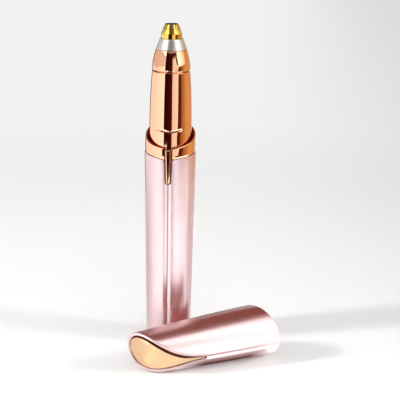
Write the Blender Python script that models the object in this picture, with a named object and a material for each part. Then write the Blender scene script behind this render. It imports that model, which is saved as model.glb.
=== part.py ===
"""Electric eyebrow trimmer, standing, with its cap lying on the surface in front of it.

Units are metres, +Z is up, the front (slide button and groove) faces -Y, and the origin is the
centre of the handle's flat base. Every piece is one object. A piece that turns, slides or lifts off
has its origin on the axis it moves along.
"""

import math

import bmesh
import bpy
from mathutils import Matrix, Vector

mm = 0.001

# Fits
fit_gap = 0.3 * mm            # between pieces that seat on each other
fine_gap = 0.2 * mm           # between the thin pieces of the head and the cap's inlay
overrun = 1.0 * mm            # how far a cut runs past what it cuts

# Counts
shell_sides = 44
head_sides = 48
frame_sides = 32
cell_sides = 28
small_sides = 24
pin_sides = 16
groove_steps = 4              # across a groove, an even number
edge_steps = 3                # round a rounded edge
round_end_steps = 8           # round the end of the slide button
cut_steps = 28                # along the cap's curved cut
cut_search_steps = 400        # where the inlay's ends are looked for along that cut
foil_slots = 16
blade_count = 4

# Cell and its contacts
cell_radius = 5.2 * mm
cell_length = 43.6 * mm
nub_radius = 1.9 * mm
nub_height = 0.9 * mm
cell_edge = 0.5 * mm
contact_thickness = 0.3 * mm
contact_radius = 3.9 * mm
strip_width = 2.4 * mm
spring_height = 2.7 * mm
spring_wire = 0.5 * mm
spring_foot_radius = 3.6 * mm
spring_top_radius = 1.6 * mm
spring_turns = 2.5
spring_flat_turns = 0.5
positive_offset = 2.9 * mm
positive_width = 1.2 * mm

# Chassis frame: a tube cut away behind for the cell and in front for the circuit board
frame_wall = 0.6 * mm
frame_end = 1.0 * mm
frame_side_gap = 0.5 * mm     # to the sleeve round it
motor_shelf = 1.0 * mm
motor_cup_height = 4.0 * mm
shelf_lip = 0.9 * mm          # how far the shelf reaches under the motor
bay_to_seam = 15.9 * mm       # electronics bay, from the cell's end wall to the sleeve's top
bay_above_ledge = 7.6 * mm    # and from the collar's ledge to the motor's shelf

# Handle sleeve: a tapering tube closed at the base, with a shallow groove down its front
sleeve_wall = 1.2 * mm
sleeve_floor = 1.6 * mm
sleeve_flare = 1.2 * mm       # how much wider its radius is at the top than at the base
sleeve_swell_share = 0.9
sleeve_edge = 0.7 * mm        # rounding round the base
seam_rise = 1.5 * mm          # the seam climbs by this from the front to the sides
groove_width = 2.8 * mm
groove_depth = 0.55 * mm

# Collar: the bright band above the seam, with a slanted rim, and its spigot inside the sleeve
collar_step = 0.25 * mm       # how far its side lies inside the sleeve's
collar_wall = 0.6 * mm
rim_front_rise = 4.1 * mm     # rim above the seam, at the front
rim_tilt = math.radians(22.5)
ledge_thickness = 0.8 * mm
spigot_depth = 7.0 * mm
spigot_wall = 0.8 * mm

# Motor, its end cap and its terminals
motor_radius = 4.8 * mm
motor_length = 13.4 * mm
motor_boss_radius = 1.5 * mm
motor_boss_height = 0.9 * mm
motor_edge = 0.5 * mm
motor_cap_height = 1.7 * mm
motor_cap_inset = 0.3 * mm
motor_side_gap = 0.82 * mm    # to the neck round it
terminal_width = 1.4 * mm
terminal_thickness = 0.3 * mm
terminal_length = 2.0 * mm
terminal_inset = 2.2 * mm     # of a terminal, from the motor's side
terminal_sunk = 0.85 * mm
lead_radius = 0.3 * mm
lead_room = 3.3 * mm          # above the board, for the leads

# Neck: the bright cone between the collar and the head
neck_collar_gap = 0.73 * mm
neck_taper_share = 3.2
neck_wall = 1.0 * mm
deck_thickness = 1.2 * mm
deck_below_top = 0.9 * mm
crease_above_rim = 5.2 * mm   # the curved crease over the front pad
crease_lift = 1.25 * mm
crease_width = 0.25 * mm
pad_height = 0.16 * mm
pad_half_angle = math.radians(52)
pad_shares = (0, 0.3, 0.6, 0.85, 1)
neck_shares = (0, 0.15, 0.35, 0.55, 0.75, 0.9, 1)
spigot_step = 1.3 * mm        # head's spigot, in from the neck's top edge
head_spigot_wall = 1.5 * mm

# Friction ring round the head's spigot
ring_section = 0.7 * mm
ring_stand = 0.25 * mm        # how far it stands out of the spigot
ring_height_share = 0.5

# Head: bright shell, silver ring, gold foil and the insert behind the foil
head_seam = 0.4 * mm
head_height = 6.9 * mm
head_belly = 0.06 * mm        # how far it swells beyond the neck's top edge
head_draw = 1.19 * mm         # how far its top is drawn in from that edge
head_belly_share = 0.1
head_ogive_share = 1.45
head_lip = 0.4 * mm
head_ledge = 0.8 * mm
head_ledge_width = 1.3 * mm
ring_inset = 0.11 * mm
ring_taper = 1.3 * mm
ring_height = 3.6 * mm
ring_lip = 0.2 * mm
ring_spigot = 2.1 * mm
foil_taper = 1.35 * mm        # skirt radius less top radius
foil_height = 5.0 * mm        # what shows above the silver ring
foil_skirt = 1.7 * mm         # the straight part of that
foil_thickness = 0.3 * mm
foil_flange = 0.4 * mm
foil_flange_drop = 1.6 * mm
foil_edge = 0.3 * mm
foil_slot_width = 0.28 * mm
foil_slot_depth = 2.0 * mm
foil_web = 0.08 * mm          # metal between two slots at their inner ends
insert_wall = 0.5 * mm

# Drive: shaft, bush, coupling, spring, carrier and cutter, all on the axis
shaft_radius = 0.5 * mm
shaft_sunk = 4.0 * mm
bush_wall = 0.7 * mm
bush_height = 1.6 * mm
coupling_radius = 1.9 * mm
coupling_height = 1.9 * mm
coupling_grip = 1.4 * mm
post_width = 1.3 * mm
post_height = 4.5 * mm
carrier_radius = 2.1 * mm
carrier_grip = 1.3 * mm
carrier_height = 3.2 * mm
carrier_pin_radius = 0.55 * mm
carrier_pin_height = 2.2 * mm
blade_hub_wall = 0.45 * mm
blade_thickness = 0.4 * mm
blade_foot = 3.6 * mm         # how far the blades reach below the foil's shoulder
cutter_wire = 0.4 * mm
cutter_turns = 2.5

# Circuit board, its screw and its switch
board_thickness = 0.8 * mm
board_width = 8.4 * mm
board_set_back = 3.0 * mm     # of its seat on the frame, from the axis
screw_radius = 0.6 * mm
screw_head_radius = 1.0 * mm
screw_head_height = 0.5 * mm
screw_edge = 2.2 * mm         # from the board's lower end
switch_width = 3.6 * mm
switch_depth = 1.5 * mm
switch_slot_depth = 0.9 * mm
switch_end_wall = 0.8 * mm
lever_width = 1.0 * mm
lever_height = 0.9 * mm
lever_reach = 1.0 * mm        # how far it stands out of the case

# Slide button: a tapering bar in front of the collar and sleeve, with a forked stem to the switch
button_travel = 3.0 * mm
button_length = 12.5 * mm
button_top_width = 2.5 * mm
button_end_width = 1.8 * mm
button_thickness = 0.8 * mm
button_proud = 0.5 * mm
button_crown_shares = ((1, 1), (0.55, 1), (0.15, 0.8), (0, 0.45))
stem_width = 1.4 * mm
prong_height = 0.6 * mm

# Cap, in its own frame: the mouth's centre at the origin, the crown up, its groove facing -Y
cap_stand = 0.35 * mm         # how far its mouth stands out past the collar
cap_taper = 2.0 * mm          # mouth radius less crown radius
cap_taper_share = 1.6
cap_headroom = 9.0 * mm       # from the foil's top to the crown, when it is on
cap_crown_wall = 1.7 * mm
cap_wall_run = 26.0 * mm
cap_neck_gap = 0.63 * mm      # from its mouth's bore to the neck's pad, when it is on
cap_groove_width = 2.4 * mm
cap_groove_depth = 0.45 * mm
groove_end = 0.3 * mm         # over which the groove runs out before the inlay
cut_run = 26.4 * mm           # from where the curved cut leaves the front to the crown's end
cut_lead = 13.0 * mm
cut_lead_slope = 0.09
cut_drop = 16.3 * mm
cut_end_angle = math.radians(72)
inlay_rim = 1.2 * mm
inlay_recess = 0.3 * mm
inlay_thickness = 0.5 * mm
inlay_tip_width = 0.5 * mm

# How the cap lies in front of the handle
cap_ahead = 11.4 * mm
cap_aside = 33.4 * mm
cap_yaw = math.radians(28.4)
cap_roll = math.radians(19.5)
cap_rest_share = 0.42

# The stack along the axis, from the base up
frame_base = sleeve_floor + fit_gap
contact_height = frame_base + frame_end + fit_gap
spring_base = contact_height + contact_thickness
cell_base = spring_base + spring_height + 2 * fit_gap
cell_top = cell_base + cell_length
nub_top = cell_top + nub_height
positive_height = nub_top + fit_gap
divider_height = positive_height + contact_thickness + fit_gap
divider_top = divider_height + frame_end
board_base = divider_top + fit_gap
sleeve_height = divider_top + bay_to_seam
rim_front = sleeve_height + rim_front_rise
ledge_height = sleeve_height + seam_rise + fit_gap + ledge_thickness
neck_base = ledge_height + fit_gap
shelf_height = ledge_height + bay_above_ledge
shelf_top = shelf_height + motor_shelf
board_top = shelf_height - lead_room
motor_cap_base = shelf_top + fit_gap
motor_base = motor_cap_base + motor_cap_height
motor_top = motor_base + motor_length
bush_stand = (bush_height - deck_thickness) / 2
deck_bottom = motor_top + motor_boss_height + fit_gap + bush_stand
deck_top = deck_bottom + deck_thickness
neck_top = deck_top + deck_below_top
head_base = neck_top + head_seam
head_top = head_base + head_height
silver_base = head_top + fine_gap
silver_foot = silver_base - ring_spigot
silver_top = silver_base + ring_height
head_ledge_top = silver_foot - fine_gap
head_ledge_base = head_ledge_top - head_ledge
head_spigot_top = head_ledge_base - fit_gap
foil_shoulder = silver_top + foil_skirt
foil_top = silver_top + foil_height

# The radii, from the cell and the motor outward
frame_bore = cell_radius + fit_gap
frame_radius = frame_bore + frame_wall
terminal_offset = motor_radius - terminal_inset
cup_bore = motor_radius + fit_gap
cup_radius = cup_bore + frame_wall
sleeve_base_radius = frame_radius + frame_side_gap + sleeve_wall
sleeve_top_radius = sleeve_base_radius + sleeve_flare
collar_radius = sleeve_top_radius - collar_step
collar_bore = collar_radius - collar_wall
neck_base_radius = collar_bore - neck_collar_gap
neck_top_radius = motor_radius + motor_side_gap + neck_wall
head_spigot_radius = neck_top_radius - spigot_step
head_spigot_bore = head_spigot_radius - head_spigot_wall
head_bore = head_spigot_radius + ring_stand + fit_gap
head_radius = neck_top_radius + head_belly
head_top_radius = neck_top_radius - head_draw
head_upper_bore = head_top_radius - head_lip
ring_base_radius = head_top_radius - ring_inset
ring_top_radius = ring_base_radius - ring_taper
foil_hole = ring_top_radius - ring_lip
foil_radius = foil_hole - fine_gap
foil_top_radius = foil_radius - foil_taper
foil_slot_start = foil_slots * (foil_slot_width + foil_web) / (2 * math.pi)

# Board, switch and button, from the board forward
board_seat = -board_set_back
board_back = board_seat - fit_gap
board_face = board_back - board_thickness
switch_face = board_face - fine_gap - switch_depth
lever_tip = switch_face - lever_reach
button_top = rim_front
button_end = button_top - button_length
button_back = -(sleeve_top_radius + button_proud - button_thickness)
stem_top = ledge_height - button_travel
stem_height = lever_height + 2 * fit_gap + 2 * prong_height
stem_base = stem_top - stem_height
lever_middle = stem_top - stem_height / 2

# Cap
cap_mouth_radius = collar_radius + cap_stand
cap_crown_radius = cap_mouth_radius - cap_taper
cap_mouth_bore = neck_base_radius + pad_height + cap_neck_gap
cap_mouth_wall = cap_mouth_radius - cap_mouth_bore
cap_length = foil_top + cap_headroom - rim_front - collar_radius * math.tan(rim_tilt)
cut_start = cap_length - cut_run


def material(name, colour, roughness, metallic):
    """A Principled material in the piece's own colour."""
    made = bpy.data.materials.new(name)
    made.use_nodes = True
    made.diffuse_color = (*colour, 1)
    shader = made.node_tree.nodes["Principled BSDF"]
    shader.inputs["Base Color"].default_value = (*colour, 1)
    shader.inputs["Roughness"].default_value = roughness
    shader.inputs["Metallic"].default_value = metallic
    return made


smooth_angle = math.radians(32)   # faces that meet more gently are shaded as one surface

finishes = {
    "pink_satin": ((0.80, 0.60, 0.60), 0.32, 0.9),
    "rose_gold": ((0.90, 0.52, 0.36), 0.08, 1.0),
    "silver": ((0.72, 0.71, 0.68), 0.28, 1.0),
    "gold": ((0.88, 0.62, 0.16), 0.16, 1.0),
    "steel": ((0.62, 0.62, 0.63), 0.25, 1.0),
    "nickel": ((0.68, 0.66, 0.60), 0.3, 1.0),
    "brass": ((0.78, 0.60, 0.28), 0.3, 1.0),
    "black_plastic": ((0.03, 0.03, 0.035), 0.45, 0.0),
    "white_plastic": ((0.85, 0.85, 0.83), 0.4, 0.0),
    "board_green": ((0.03, 0.22, 0.10), 0.4, 0.0),
    "cell_jacket": ((0.16, 0.20, 0.26), 0.35, 0.2),
    "rubber": ((0.05, 0.05, 0.05), 0.7, 0.0),
    "lead_red": ((0.6, 0.04, 0.04), 0.45, 0.0),
    "lead_black": ((0.03, 0.03, 0.03), 0.45, 0.0),
}


def finished(name, mesh, finish, origin=(0, 0, 0), parent=None):
    """Wrap a mesh as a named object with its own material and its origin at the given point."""
    mesh.transform(Matrix.Translation(-Vector(origin)))
    mesh.shade_smooth()
    mesh.set_sharp_from_angle(angle=smooth_angle)
    piece = bpy.data.objects.new(name, mesh)
    piece.location = origin
    piece.parent = parent
    bpy.context.scene.collection.objects.link(piece)
    if finish:
        piece.data.materials.append(material(name, *finishes[finish]))
    else:
        piece.hide_render = True
        piece.display_type = "WIRE"
    return piece


def loft(name, rings, finish, closed=False, origin=(0, 0, 0), parent=None):
    """Skin a row of rings of points; the ends are capped, or joined to each other when closed."""
    bm = bmesh.new()
    rows = [[bm.verts.new(point) for point in ring] for ring in rings]
    pairs = list(zip(rows, rows[1:]))
    if closed:
        pairs.append((rows[-1], rows[0]))
    else:
        bm.faces.new(rows[0])
        bm.faces.new(rows[-1])
    for low, high in pairs:
        for i in range(len(low)):
            j = (i + 1) % len(low)
            bm.faces.new((low[i], low[j], high[j], high[i]))
    bmesh.ops.recalc_face_normals(bm, faces=bm.faces)
    mesh = bpy.data.meshes.new(name)
    bm.to_mesh(mesh)
    bm.free()
    return finished(name, mesh, finish, origin, parent)


def ring(radius, height, sides, centre=(0, 0)):
    """A level circle of points, its first point at the front."""
    turn = 2 * math.pi / sides
    return [
        Vector((centre[0] + radius * math.sin(i * turn), centre[1] - radius * math.cos(i * turn), height))
        for i in range(sides)
    ]


def turned(name, outline, sides, finish, closed=False, centre=(0, 0), origin=(0, 0, 0), parent=None):
    """Turn an outline of (radius, height) points round a vertical axis."""
    rings = [ring(radius, height, sides, centre) for radius, height in outline]
    return loft(name, rings, finish, closed, origin, parent)


def block(name, low, high, finish, origin=(0, 0, 0), parent=None):
    """A plain box between two corners."""
    base = [
        Vector((low[0], low[1], low[2])),
        Vector((high[0], low[1], low[2])),
        Vector((high[0], high[1], low[2])),
        Vector((low[0], high[1], low[2])),
    ]
    top = [Vector((point.x, point.y, high[2])) for point in base]
    return loft(name, [base, top], finish, origin=origin, parent=parent)


def prism(name, outline, half_width, finish, parent=None):
    """Extrude an outline of (depth, height) points to both sides of the middle plane."""
    sides = [[Vector((x, depth, height)) for depth, height in outline] for x in (-half_width, half_width)]
    return loft(name, sides, finish, parent=parent)


def boolean(piece, other, operation):
    step = piece.modifiers.new(other.name, "BOOLEAN")
    step.object = other
    step.operation = operation
    step.solver = "EXACT"


def cut(piece, *cutters):
    for cutter in cutters:
        boolean(piece, cutter, "DIFFERENCE")


def fuse(piece, *others):
    """Union plain lofts into a piece; they go out of sight as guides."""
    for other in others:
        boolean(piece, other, "UNION")


def arc(centre, radius, start, end, steps):
    """Points along an arc of an outline, angles in degrees from the outward direction."""
    points = []
    for i in range(steps + 1):
        angle = math.radians(start + (end - start) * i / steps)
        points.append((centre[0] + radius * math.cos(angle), centre[1] + radius * math.sin(angle)))
    return points


def coil(name, low, high, radii, wire, turns, flat_turns, finish, origin):
    """A helical spring on the axis as one unbroken tube; its end turns lie flat for a while."""
    points_per_turn = 12
    count = int(turns * points_per_turn)
    flat_share = flat_turns / turns
    points = []
    for i in range(count + 1):
        share = i / count
        climb = min(max((share - flat_share) / (1 - 2 * flat_share), 0), 1)
        angle = 2 * math.pi * turns * share
        radius = radii[0] + (radii[1] - radii[0]) * share
        height = low + wire / 2 + (high - low - wire) * climb
        points.append(Vector((radius * math.cos(angle), radius * math.sin(angle), height)))
    spring = tube(name, [point - Vector(origin) for point in points], wire / 2, 1, finish)
    spring.location = origin
    half_turn = points_per_turn // 2
    apart = [(a - b).length for i, a in enumerate(points) for b in points[i + half_turn:]]
    print(name, "least gap between turns in mm", round((min(apart) - wire) / mm, 2))
    return spring


def tube(name, points, radius, resolution, finish):
    """A round tube with filled ends along a row of points."""
    curve = bpy.data.curves.new(name, "CURVE")
    curve.dimensions = "3D"
    curve.bevel_depth = radius
    curve.bevel_resolution = resolution
    curve.use_fill_caps = True
    path = curve.splines.new("POLY")
    path.points.add(len(points) - 1)
    for slot, point in zip(path.points, points):
        slot.co = (*point, 1)
    piece = bpy.data.objects.new(name, curve)
    bpy.context.scene.collection.objects.link(piece)
    curve.materials.append(material(name, *finishes[finish]))
    return piece


def lead(name, route, finish):
    """A short insulated wire along a smooth curve through the points of its route."""
    steps = 5
    smooth = []
    ends = [route[0]] + route + [route[-1]]
    for i in range(1, len(ends) - 2):
        before, start, end, after = ends[i - 1:i + 3]
        for k in range(steps):
            t = k / steps
            along = (end - before) * t / 2
            bend = (before * 2 - start * 5 + end * 4 - after) * t * t / 2
            swing = (start * 3 - before - end * 3 + after) * t * t * t / 2
            smooth.append(start + along + bend + swing)
    smooth.append(route[-1])
    return tube(name, smooth, lead_radius, 2, finish)


def sleeve_radius(height):
    share = min(max(height / sleeve_height, 0), 1)
    return sleeve_base_radius + sleeve_flare * share**sleeve_swell_share


def seam_height(x):
    """The seam between sleeve and collar, which climbs evenly from the front to the sides."""
    return sleeve_height + seam_rise * abs(x) / sleeve_top_radius


def grooved_ring(radius, width, depth, height):
    """A circle with a V groove at its front; every ring has the same number of points."""
    half = math.asin(width / 2 / radius)
    points = []
    for i in range(groove_steps + 1):
        share = 2 * i / groove_steps - 1
        here = radius - depth * (1 - abs(share))
        points.append(Vector((here * math.sin(half * share), -here * math.cos(half * share), height)))
    rest = shell_sides - groove_steps
    for i in range(1, rest):
        angle = half + (2 * math.pi - 2 * half) * i / rest
        points.append(Vector((radius * math.sin(angle), -radius * math.cos(angle), height)))
    return points


def handle_sleeve():
    """The tapering sleeve: one chain of rings, up the outside, over the seam and down the bore."""
    rings = []

    def add(radius, share, depth, base):
        points = grooved_ring(radius, groove_width, depth, 0)
        for point in points:
            point.z = base + (seam_height(point.x) - base) * share
        rings.append(points)

    edge_share = sleeve_edge / sleeve_height
    for i in range(edge_steps + 1):
        angle = math.pi / 2 * i / edge_steps
        share = edge_share * (1 - math.cos(angle))
        inset = sleeve_edge * (1 - math.sin(angle))
        add(sleeve_radius(share * sleeve_height) - inset, share, groove_depth * math.sin(angle), 0)
    rows = 6
    for i in range(1, rows + 1):
        share = edge_share + (1 - edge_share) * i / rows
        add(sleeve_radius(share * sleeve_height), share, groove_depth, 0)
    for i in range(rows, -1, -2):
        share = i / rows
        height = sleeve_floor + (sleeve_height - sleeve_floor) * share
        add(sleeve_radius(height) - sleeve_wall, share, 0, sleeve_floor)
    sleeve = loft("handle_sleeve", rings, "pink_satin")
    cut(sleeve, button_track("sleeve_track", button_back + fit_gap), stem_slot("sleeve_stem_slot"))
    return sleeve


def button_outline():
    """The bar seen from the front, narrowing to a round lower end: (x, height) points."""
    half_top = button_top_width / 2
    half_end = button_end_width / 2
    round_end = arc((0, button_end + half_end), half_end, 0, -180, round_end_steps)
    return [(half_top, button_top)] + round_end + [(-half_top, button_top)]


def button_track(name, back):
    """The cut that the bar slides in, from outside to a depth behind it, open at the top."""
    front = -(sleeve_top_radius + overrun)
    half_top = button_top_width / 2 + fit_gap
    half_end = button_end_width / 2 + fit_gap
    top = button_top + button_travel + overrun
    centre = (0, button_end + button_end_width / 2)
    outline = [(half_top, top), (half_top, button_top)] + arc(centre, half_end, 0, -180, round_end_steps)
    outline += [(-half_top, button_top), (-half_top, top)]
    rows = [[Vector((x, y, z)) for x, z in outline] for y in (front, back)]
    return loft(name, rows, None)


def stem_slot(name):
    """The slot for the button's stem, open at the top."""
    half = stem_width / 2 + fit_gap
    low = (-half, -(sleeve_top_radius + overrun), stem_base - fit_gap)
    high = (half, switch_face - fit_gap, button_top + button_travel + overrun)
    return block(name, low, high, None)


def collar():
    """The band with its slanted rim, the ledge that carries the neck, and the spigot below."""
    spigot_foot = sleeve_height - spigot_depth
    spigot_radius = sleeve_radius(spigot_foot) - sleeve_wall - fine_gap
    spigot_bore = spigot_radius - spigot_wall

    def rim(y):
        return rim_front + math.tan(rim_tilt) * (y + collar_radius)

    def level(height):
        return lambda point: height

    def seam(point):
        return seam_height(point.x) + fit_gap

    def slant(point):
        return rim(point.y)

    chain = [
        (spigot_radius, level(spigot_foot)),
        (spigot_radius, seam),
        (collar_radius, seam),
        (collar_radius, slant),
        (collar_bore, slant),
        (collar_bore, level(ledge_height)),
        (spigot_bore, level(ledge_height)),
        (spigot_bore, level(spigot_foot)),
    ]
    rings = []
    for radius, height in chain:
        points = ring(radius, 0, shell_sides)
        rings.append([Vector((point.x, point.y, height(point))) for point in points])
    band = loft("collar", rings, "rose_gold", closed=True)
    cut(band, button_track("collar_track", -(collar_bore - fit_gap)), stem_slot("collar_stem_slot"))
    return band


def neck_radius(height):
    share = min(max((height - neck_base) / (neck_top - neck_base), 0), 1)
    return neck_base_radius - (neck_base_radius - neck_top_radius) * share**neck_taper_share


def neck_ring(share, above):
    """A ring of the neck's outside, a share of the way up to the crease, or from it to the top."""
    points = []
    for place in ring(1, 0, shell_sides):
        angle = abs(math.atan2(place.x, -place.y))
        crease = rim_front + crease_above_rim + crease_lift * math.sin(min(angle, math.pi / 2))
        if above:
            start = crease + crease_width
            height = start + (neck_top - start) * share
            pad = 0
        else:
            height = neck_base + (crease - neck_base) * share
            fade = math.cos(min(angle / pad_half_angle, 1) * math.pi / 2)
            pad = pad_height * fade * math.sin(share * math.pi / 2)
        radius = neck_radius(height) + pad
        points.append(Vector((place.x * radius, place.y * radius, height)))
    return points


def neck_shell():
    """The cone with its front pad, the deck the motor hangs under, and the spigot for the head."""
    rings = [neck_ring(share, False) for share in pad_shares]
    rings += [neck_ring(share, True) for share in neck_shares]
    groove = head_spigot_radius - (ring_section - ring_stand + fit_gap)
    middle = neck_top + (head_spigot_top - neck_top) * ring_height_share
    half = ring_section / 2 + fine_gap
    bush_hole = shaft_radius + fit_gap + bush_wall + fine_gap
    chain = [
        (head_spigot_radius, neck_top),
        (head_spigot_radius, middle - half),
        (groove, middle - half),
        (groove, middle + half),
        (head_spigot_radius, middle + half),
        (head_spigot_radius, head_spigot_top),
        (head_spigot_bore, head_spigot_top),
        (head_spigot_bore, deck_top),
        (bush_hole, deck_top),
        (bush_hole, deck_bottom),
    ]
    steps = 3
    for i in range(steps + 1):
        height = deck_bottom + (neck_base - deck_bottom) * i / steps
        chain.append((neck_radius(height) - neck_wall, height))
    rings += [ring(radius, height, shell_sides) for radius, height in chain]
    return loft("neck_shell", rings, "rose_gold", closed=True)


def friction_ring():
    middle = neck_top + (head_spigot_top - neck_top) * ring_height_share
    centre = (head_spigot_radius + ring_stand - ring_section / 2, middle)
    section = arc(centre, ring_section / 2, 0, 360, 6)[:-1]
    return turned("friction_ring", section, cell_sides, "rubber", closed=True)


def slide_button():
    """The crowned bar and its forked stem."""
    half_end = button_end_width / 2
    middle = button_end + half_end
    rings = []
    for depth_share, size_share in button_crown_shares:
        y = button_back - button_thickness * (1 - depth_share)
        row = []
        for x, z in button_outline():
            side = math.copysign(abs(x) - half_end * (1 - size_share), x) if z > middle else x * size_share
            end = z - half_end * (1 - size_share) if z > middle else middle + (z - middle) * size_share
            row.append(Vector((side, y, end)))
        rings.append(row)
    bar = loft("slide_button", rings, "rose_gold", origin=(0, button_back, lever_middle))
    half = stem_width / 2
    root = button_back - button_thickness / 2
    web = lever_tip - fit_gap
    stem = block("button_stem", (-half, root, stem_base), (half, web, stem_top), None)
    prongs = []
    for name, low in (("prong_low", stem_base), ("prong_high", stem_top - prong_height)):
        inner = (-half, web - button_thickness / 2, low)
        outer = (half, switch_face - fit_gap, low + prong_height)
        prongs.append(block(name, inner, outer, None))
    fuse(bar, stem, *prongs)
    return bar


def switch():
    """The slide switch on the board: a case with a slot, and the lever the button's fork holds."""
    half = switch_width / 2
    low = lever_middle - lever_height / 2 - fit_gap - switch_end_wall
    high = lever_middle + lever_height / 2 + button_travel + fit_gap + switch_end_wall
    case_high = (half, board_face - fine_gap, high)
    case = block("switch_case", (-half, switch_face, low), case_high, "black_plastic")
    slot_back = switch_face + switch_slot_depth
    slot_half = lever_width / 2 + fine_gap
    slot_low = (-slot_half, switch_face - overrun, low + switch_end_wall)
    slot_high = (slot_half, slot_back, high - switch_end_wall)
    cut(case, block("switch_slot", slot_low, slot_high, None))
    width = lever_width / 2
    lever_low = (-width, lever_tip, lever_middle - lever_height / 2)
    lever_high = (width, slot_back - fine_gap, lever_middle + lever_height / 2)
    block("switch_lever", lever_low, lever_high, "white_plastic", origin=(0, switch_face, lever_middle))


def chassis_frame():
    """A tube open behind for the cell and in front for the board, with the motor's cup on top."""
    cup_top = motor_base + motor_cup_height
    outline = [
        (frame_radius, frame_base),
        (frame_radius, shelf_top),
        (cup_radius, shelf_top),
        (cup_radius, cup_top),
    ]
    frame = turned("chassis_frame", outline, frame_sides, "white_plastic")
    bay_floor = frame_base + frame_end
    hole_radius = motor_radius - shelf_lip
    bores = [
        turned("cell_bay", [(frame_bore, bay_floor), (frame_bore, divider_height)], frame_sides, None),
        turned("board_bay", [(frame_bore, divider_top), (frame_bore, shelf_height)], frame_sides, None),
        turned("motor_cup", [(cup_bore, shelf_top), (cup_bore, cup_top + overrun)], frame_sides, None),
        turned(
            "shelf_hole",
            [(hole_radius, shelf_height - overrun), (hole_radius, shelf_top + overrun)],
            small_sides,
            None,
        ),
    ]
    wide = frame_radius + overrun
    half = strip_width / 2 + fit_gap
    left = positive_offset - positive_width / 2 - fit_gap
    right = positive_offset + positive_width / 2 + fit_gap
    windows = [
        block("cell_window", (-wide, 0, bay_floor), (wide, wide, divider_height), None),
        block("board_window", (-wide, -wide, divider_top), (wide, board_seat, shelf_height), None),
        block(
            "strip_channel",
            (-half, -wide, bay_floor),
            (half, -(frame_bore - frame_wall), divider_top + overrun),
            None,
        ),
        block(
            "contact_notch",
            (left, -wide, divider_height - overrun),
            (right, board_back, divider_top + overrun),
            None,
        ),
    ]
    cut(frame, *bores, *windows)
    return frame


def cell():
    low = (cell_radius - cell_edge, cell_base + cell_edge)
    high = (cell_radius - cell_edge, cell_top - cell_edge)
    outline = arc(low, cell_edge, -90, 0, edge_steps) + arc(high, cell_edge, 0, 90, edge_steps)
    turned("cell", outline + [(nub_radius, cell_top), (nub_radius, nub_top)], cell_sides, "cell_jacket")


def negative_contact():
    """The plate under the cell, its spring, and the strip that runs up the frame to the board."""
    strip_back = -frame_bore - (frame_wall - contact_thickness) / 2
    strip_front = strip_back - contact_thickness
    half = strip_width / 2
    strip_top = board_base + fit_gap + contact_thickness
    outline = [(contact_radius, contact_height), (contact_radius, spring_base)]
    plate = turned("negative_contact", outline, small_sides, "nickel")
    foot = block("strip_foot", (-half, strip_front, contact_height), (half, 0, spring_base), None)
    strip = block("strip", (-half, strip_front, contact_height), (half, strip_back, strip_top), None)
    tab_low = (-half, strip_front, strip_top - contact_thickness)
    tab = block("strip_tab", tab_low, (half, board_face - fit_gap, strip_top), None)
    fuse(plate, foot, strip, tab)
    low = spring_base + fit_gap
    radii = (spring_foot_radius, spring_top_radius)
    flat = spring_flat_turns
    high = low + spring_height
    coil("negative_spring", low, high, radii, spring_wire, spring_turns, flat, "nickel", (0, 0, 0))


def positive_contact():
    """The disc over the cell's nub, with a leg bent up in front of the board."""
    left = positive_offset - positive_width / 2
    right = positive_offset + positive_width / 2
    leg_back = board_face - fit_gap
    front = leg_back - contact_thickness
    top = positive_height + contact_thickness
    leg_top = board_base + screw_edge - screw_head_radius - fit_gap
    disc_outline = [(nub_radius, positive_height), (nub_radius, top)]
    disc = turned("positive_contact", disc_outline, small_sides, "nickel")
    arm = block("positive_arm", (0, front, positive_height), (right, 0, top), None)
    leg = block("positive_leg", (left, front, positive_height), (right, leg_back, leg_top), None)
    fuse(disc, arm, leg)


def circuit_board():
    """The board on the frame's two edges, held by a screw into the divider's boss."""
    half = board_width / 2
    board_high = (half, board_back, board_top)
    board = block("circuit_board", (-half, board_face, board_base), board_high, "board_green")
    hole_radius = screw_radius + fine_gap
    hole_ends = (board_face - overrun, board_back + overrun)
    hole = turned("screw_hole", [(hole_radius, depth) for depth in hole_ends], pin_sides, None)
    head = board_face - fine_gap
    outline = [
        (screw_head_radius, head - screw_head_height),
        (screw_head_radius, head),
        (screw_radius, head),
        (screw_radius, board_back),
    ]
    screw = turned("board_screw", outline, pin_sides, "steel")
    for piece in (hole, screw):
        piece.rotation_euler = (-math.pi / 2, 0, 0)
        piece.location = (0, 0, board_base + screw_edge)
    cut(board, hole)


def motor():
    """The can, its end cap, and the two terminals with their leads down to the board."""
    bore = shaft_radius + fine_gap
    outline = [(motor_radius, motor_base)]
    outline += arc((motor_radius - motor_edge, motor_top - motor_edge), motor_edge, 0, 90, edge_steps)
    outline += [
        (motor_boss_radius, motor_top),
        (motor_boss_radius, motor_top + motor_boss_height),
        (bore, motor_top + motor_boss_height),
        (bore, motor_top - shaft_sunk - fine_gap),
    ]
    turned("motor_can", outline, cell_sides, "steel")
    cap_side = motor_radius - motor_cap_inset
    cap_outline = [(cap_side, motor_cap_base), (cap_side, motor_base - fine_gap)]
    end_cap = turned("motor_end_cap", cap_outline, cell_sides, "black_plastic")
    for side, name, finish in ((-1, "left", "lead_black"), (1, "right", "lead_red")):
        motor_terminal(end_cap, side, name, finish)


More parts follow.
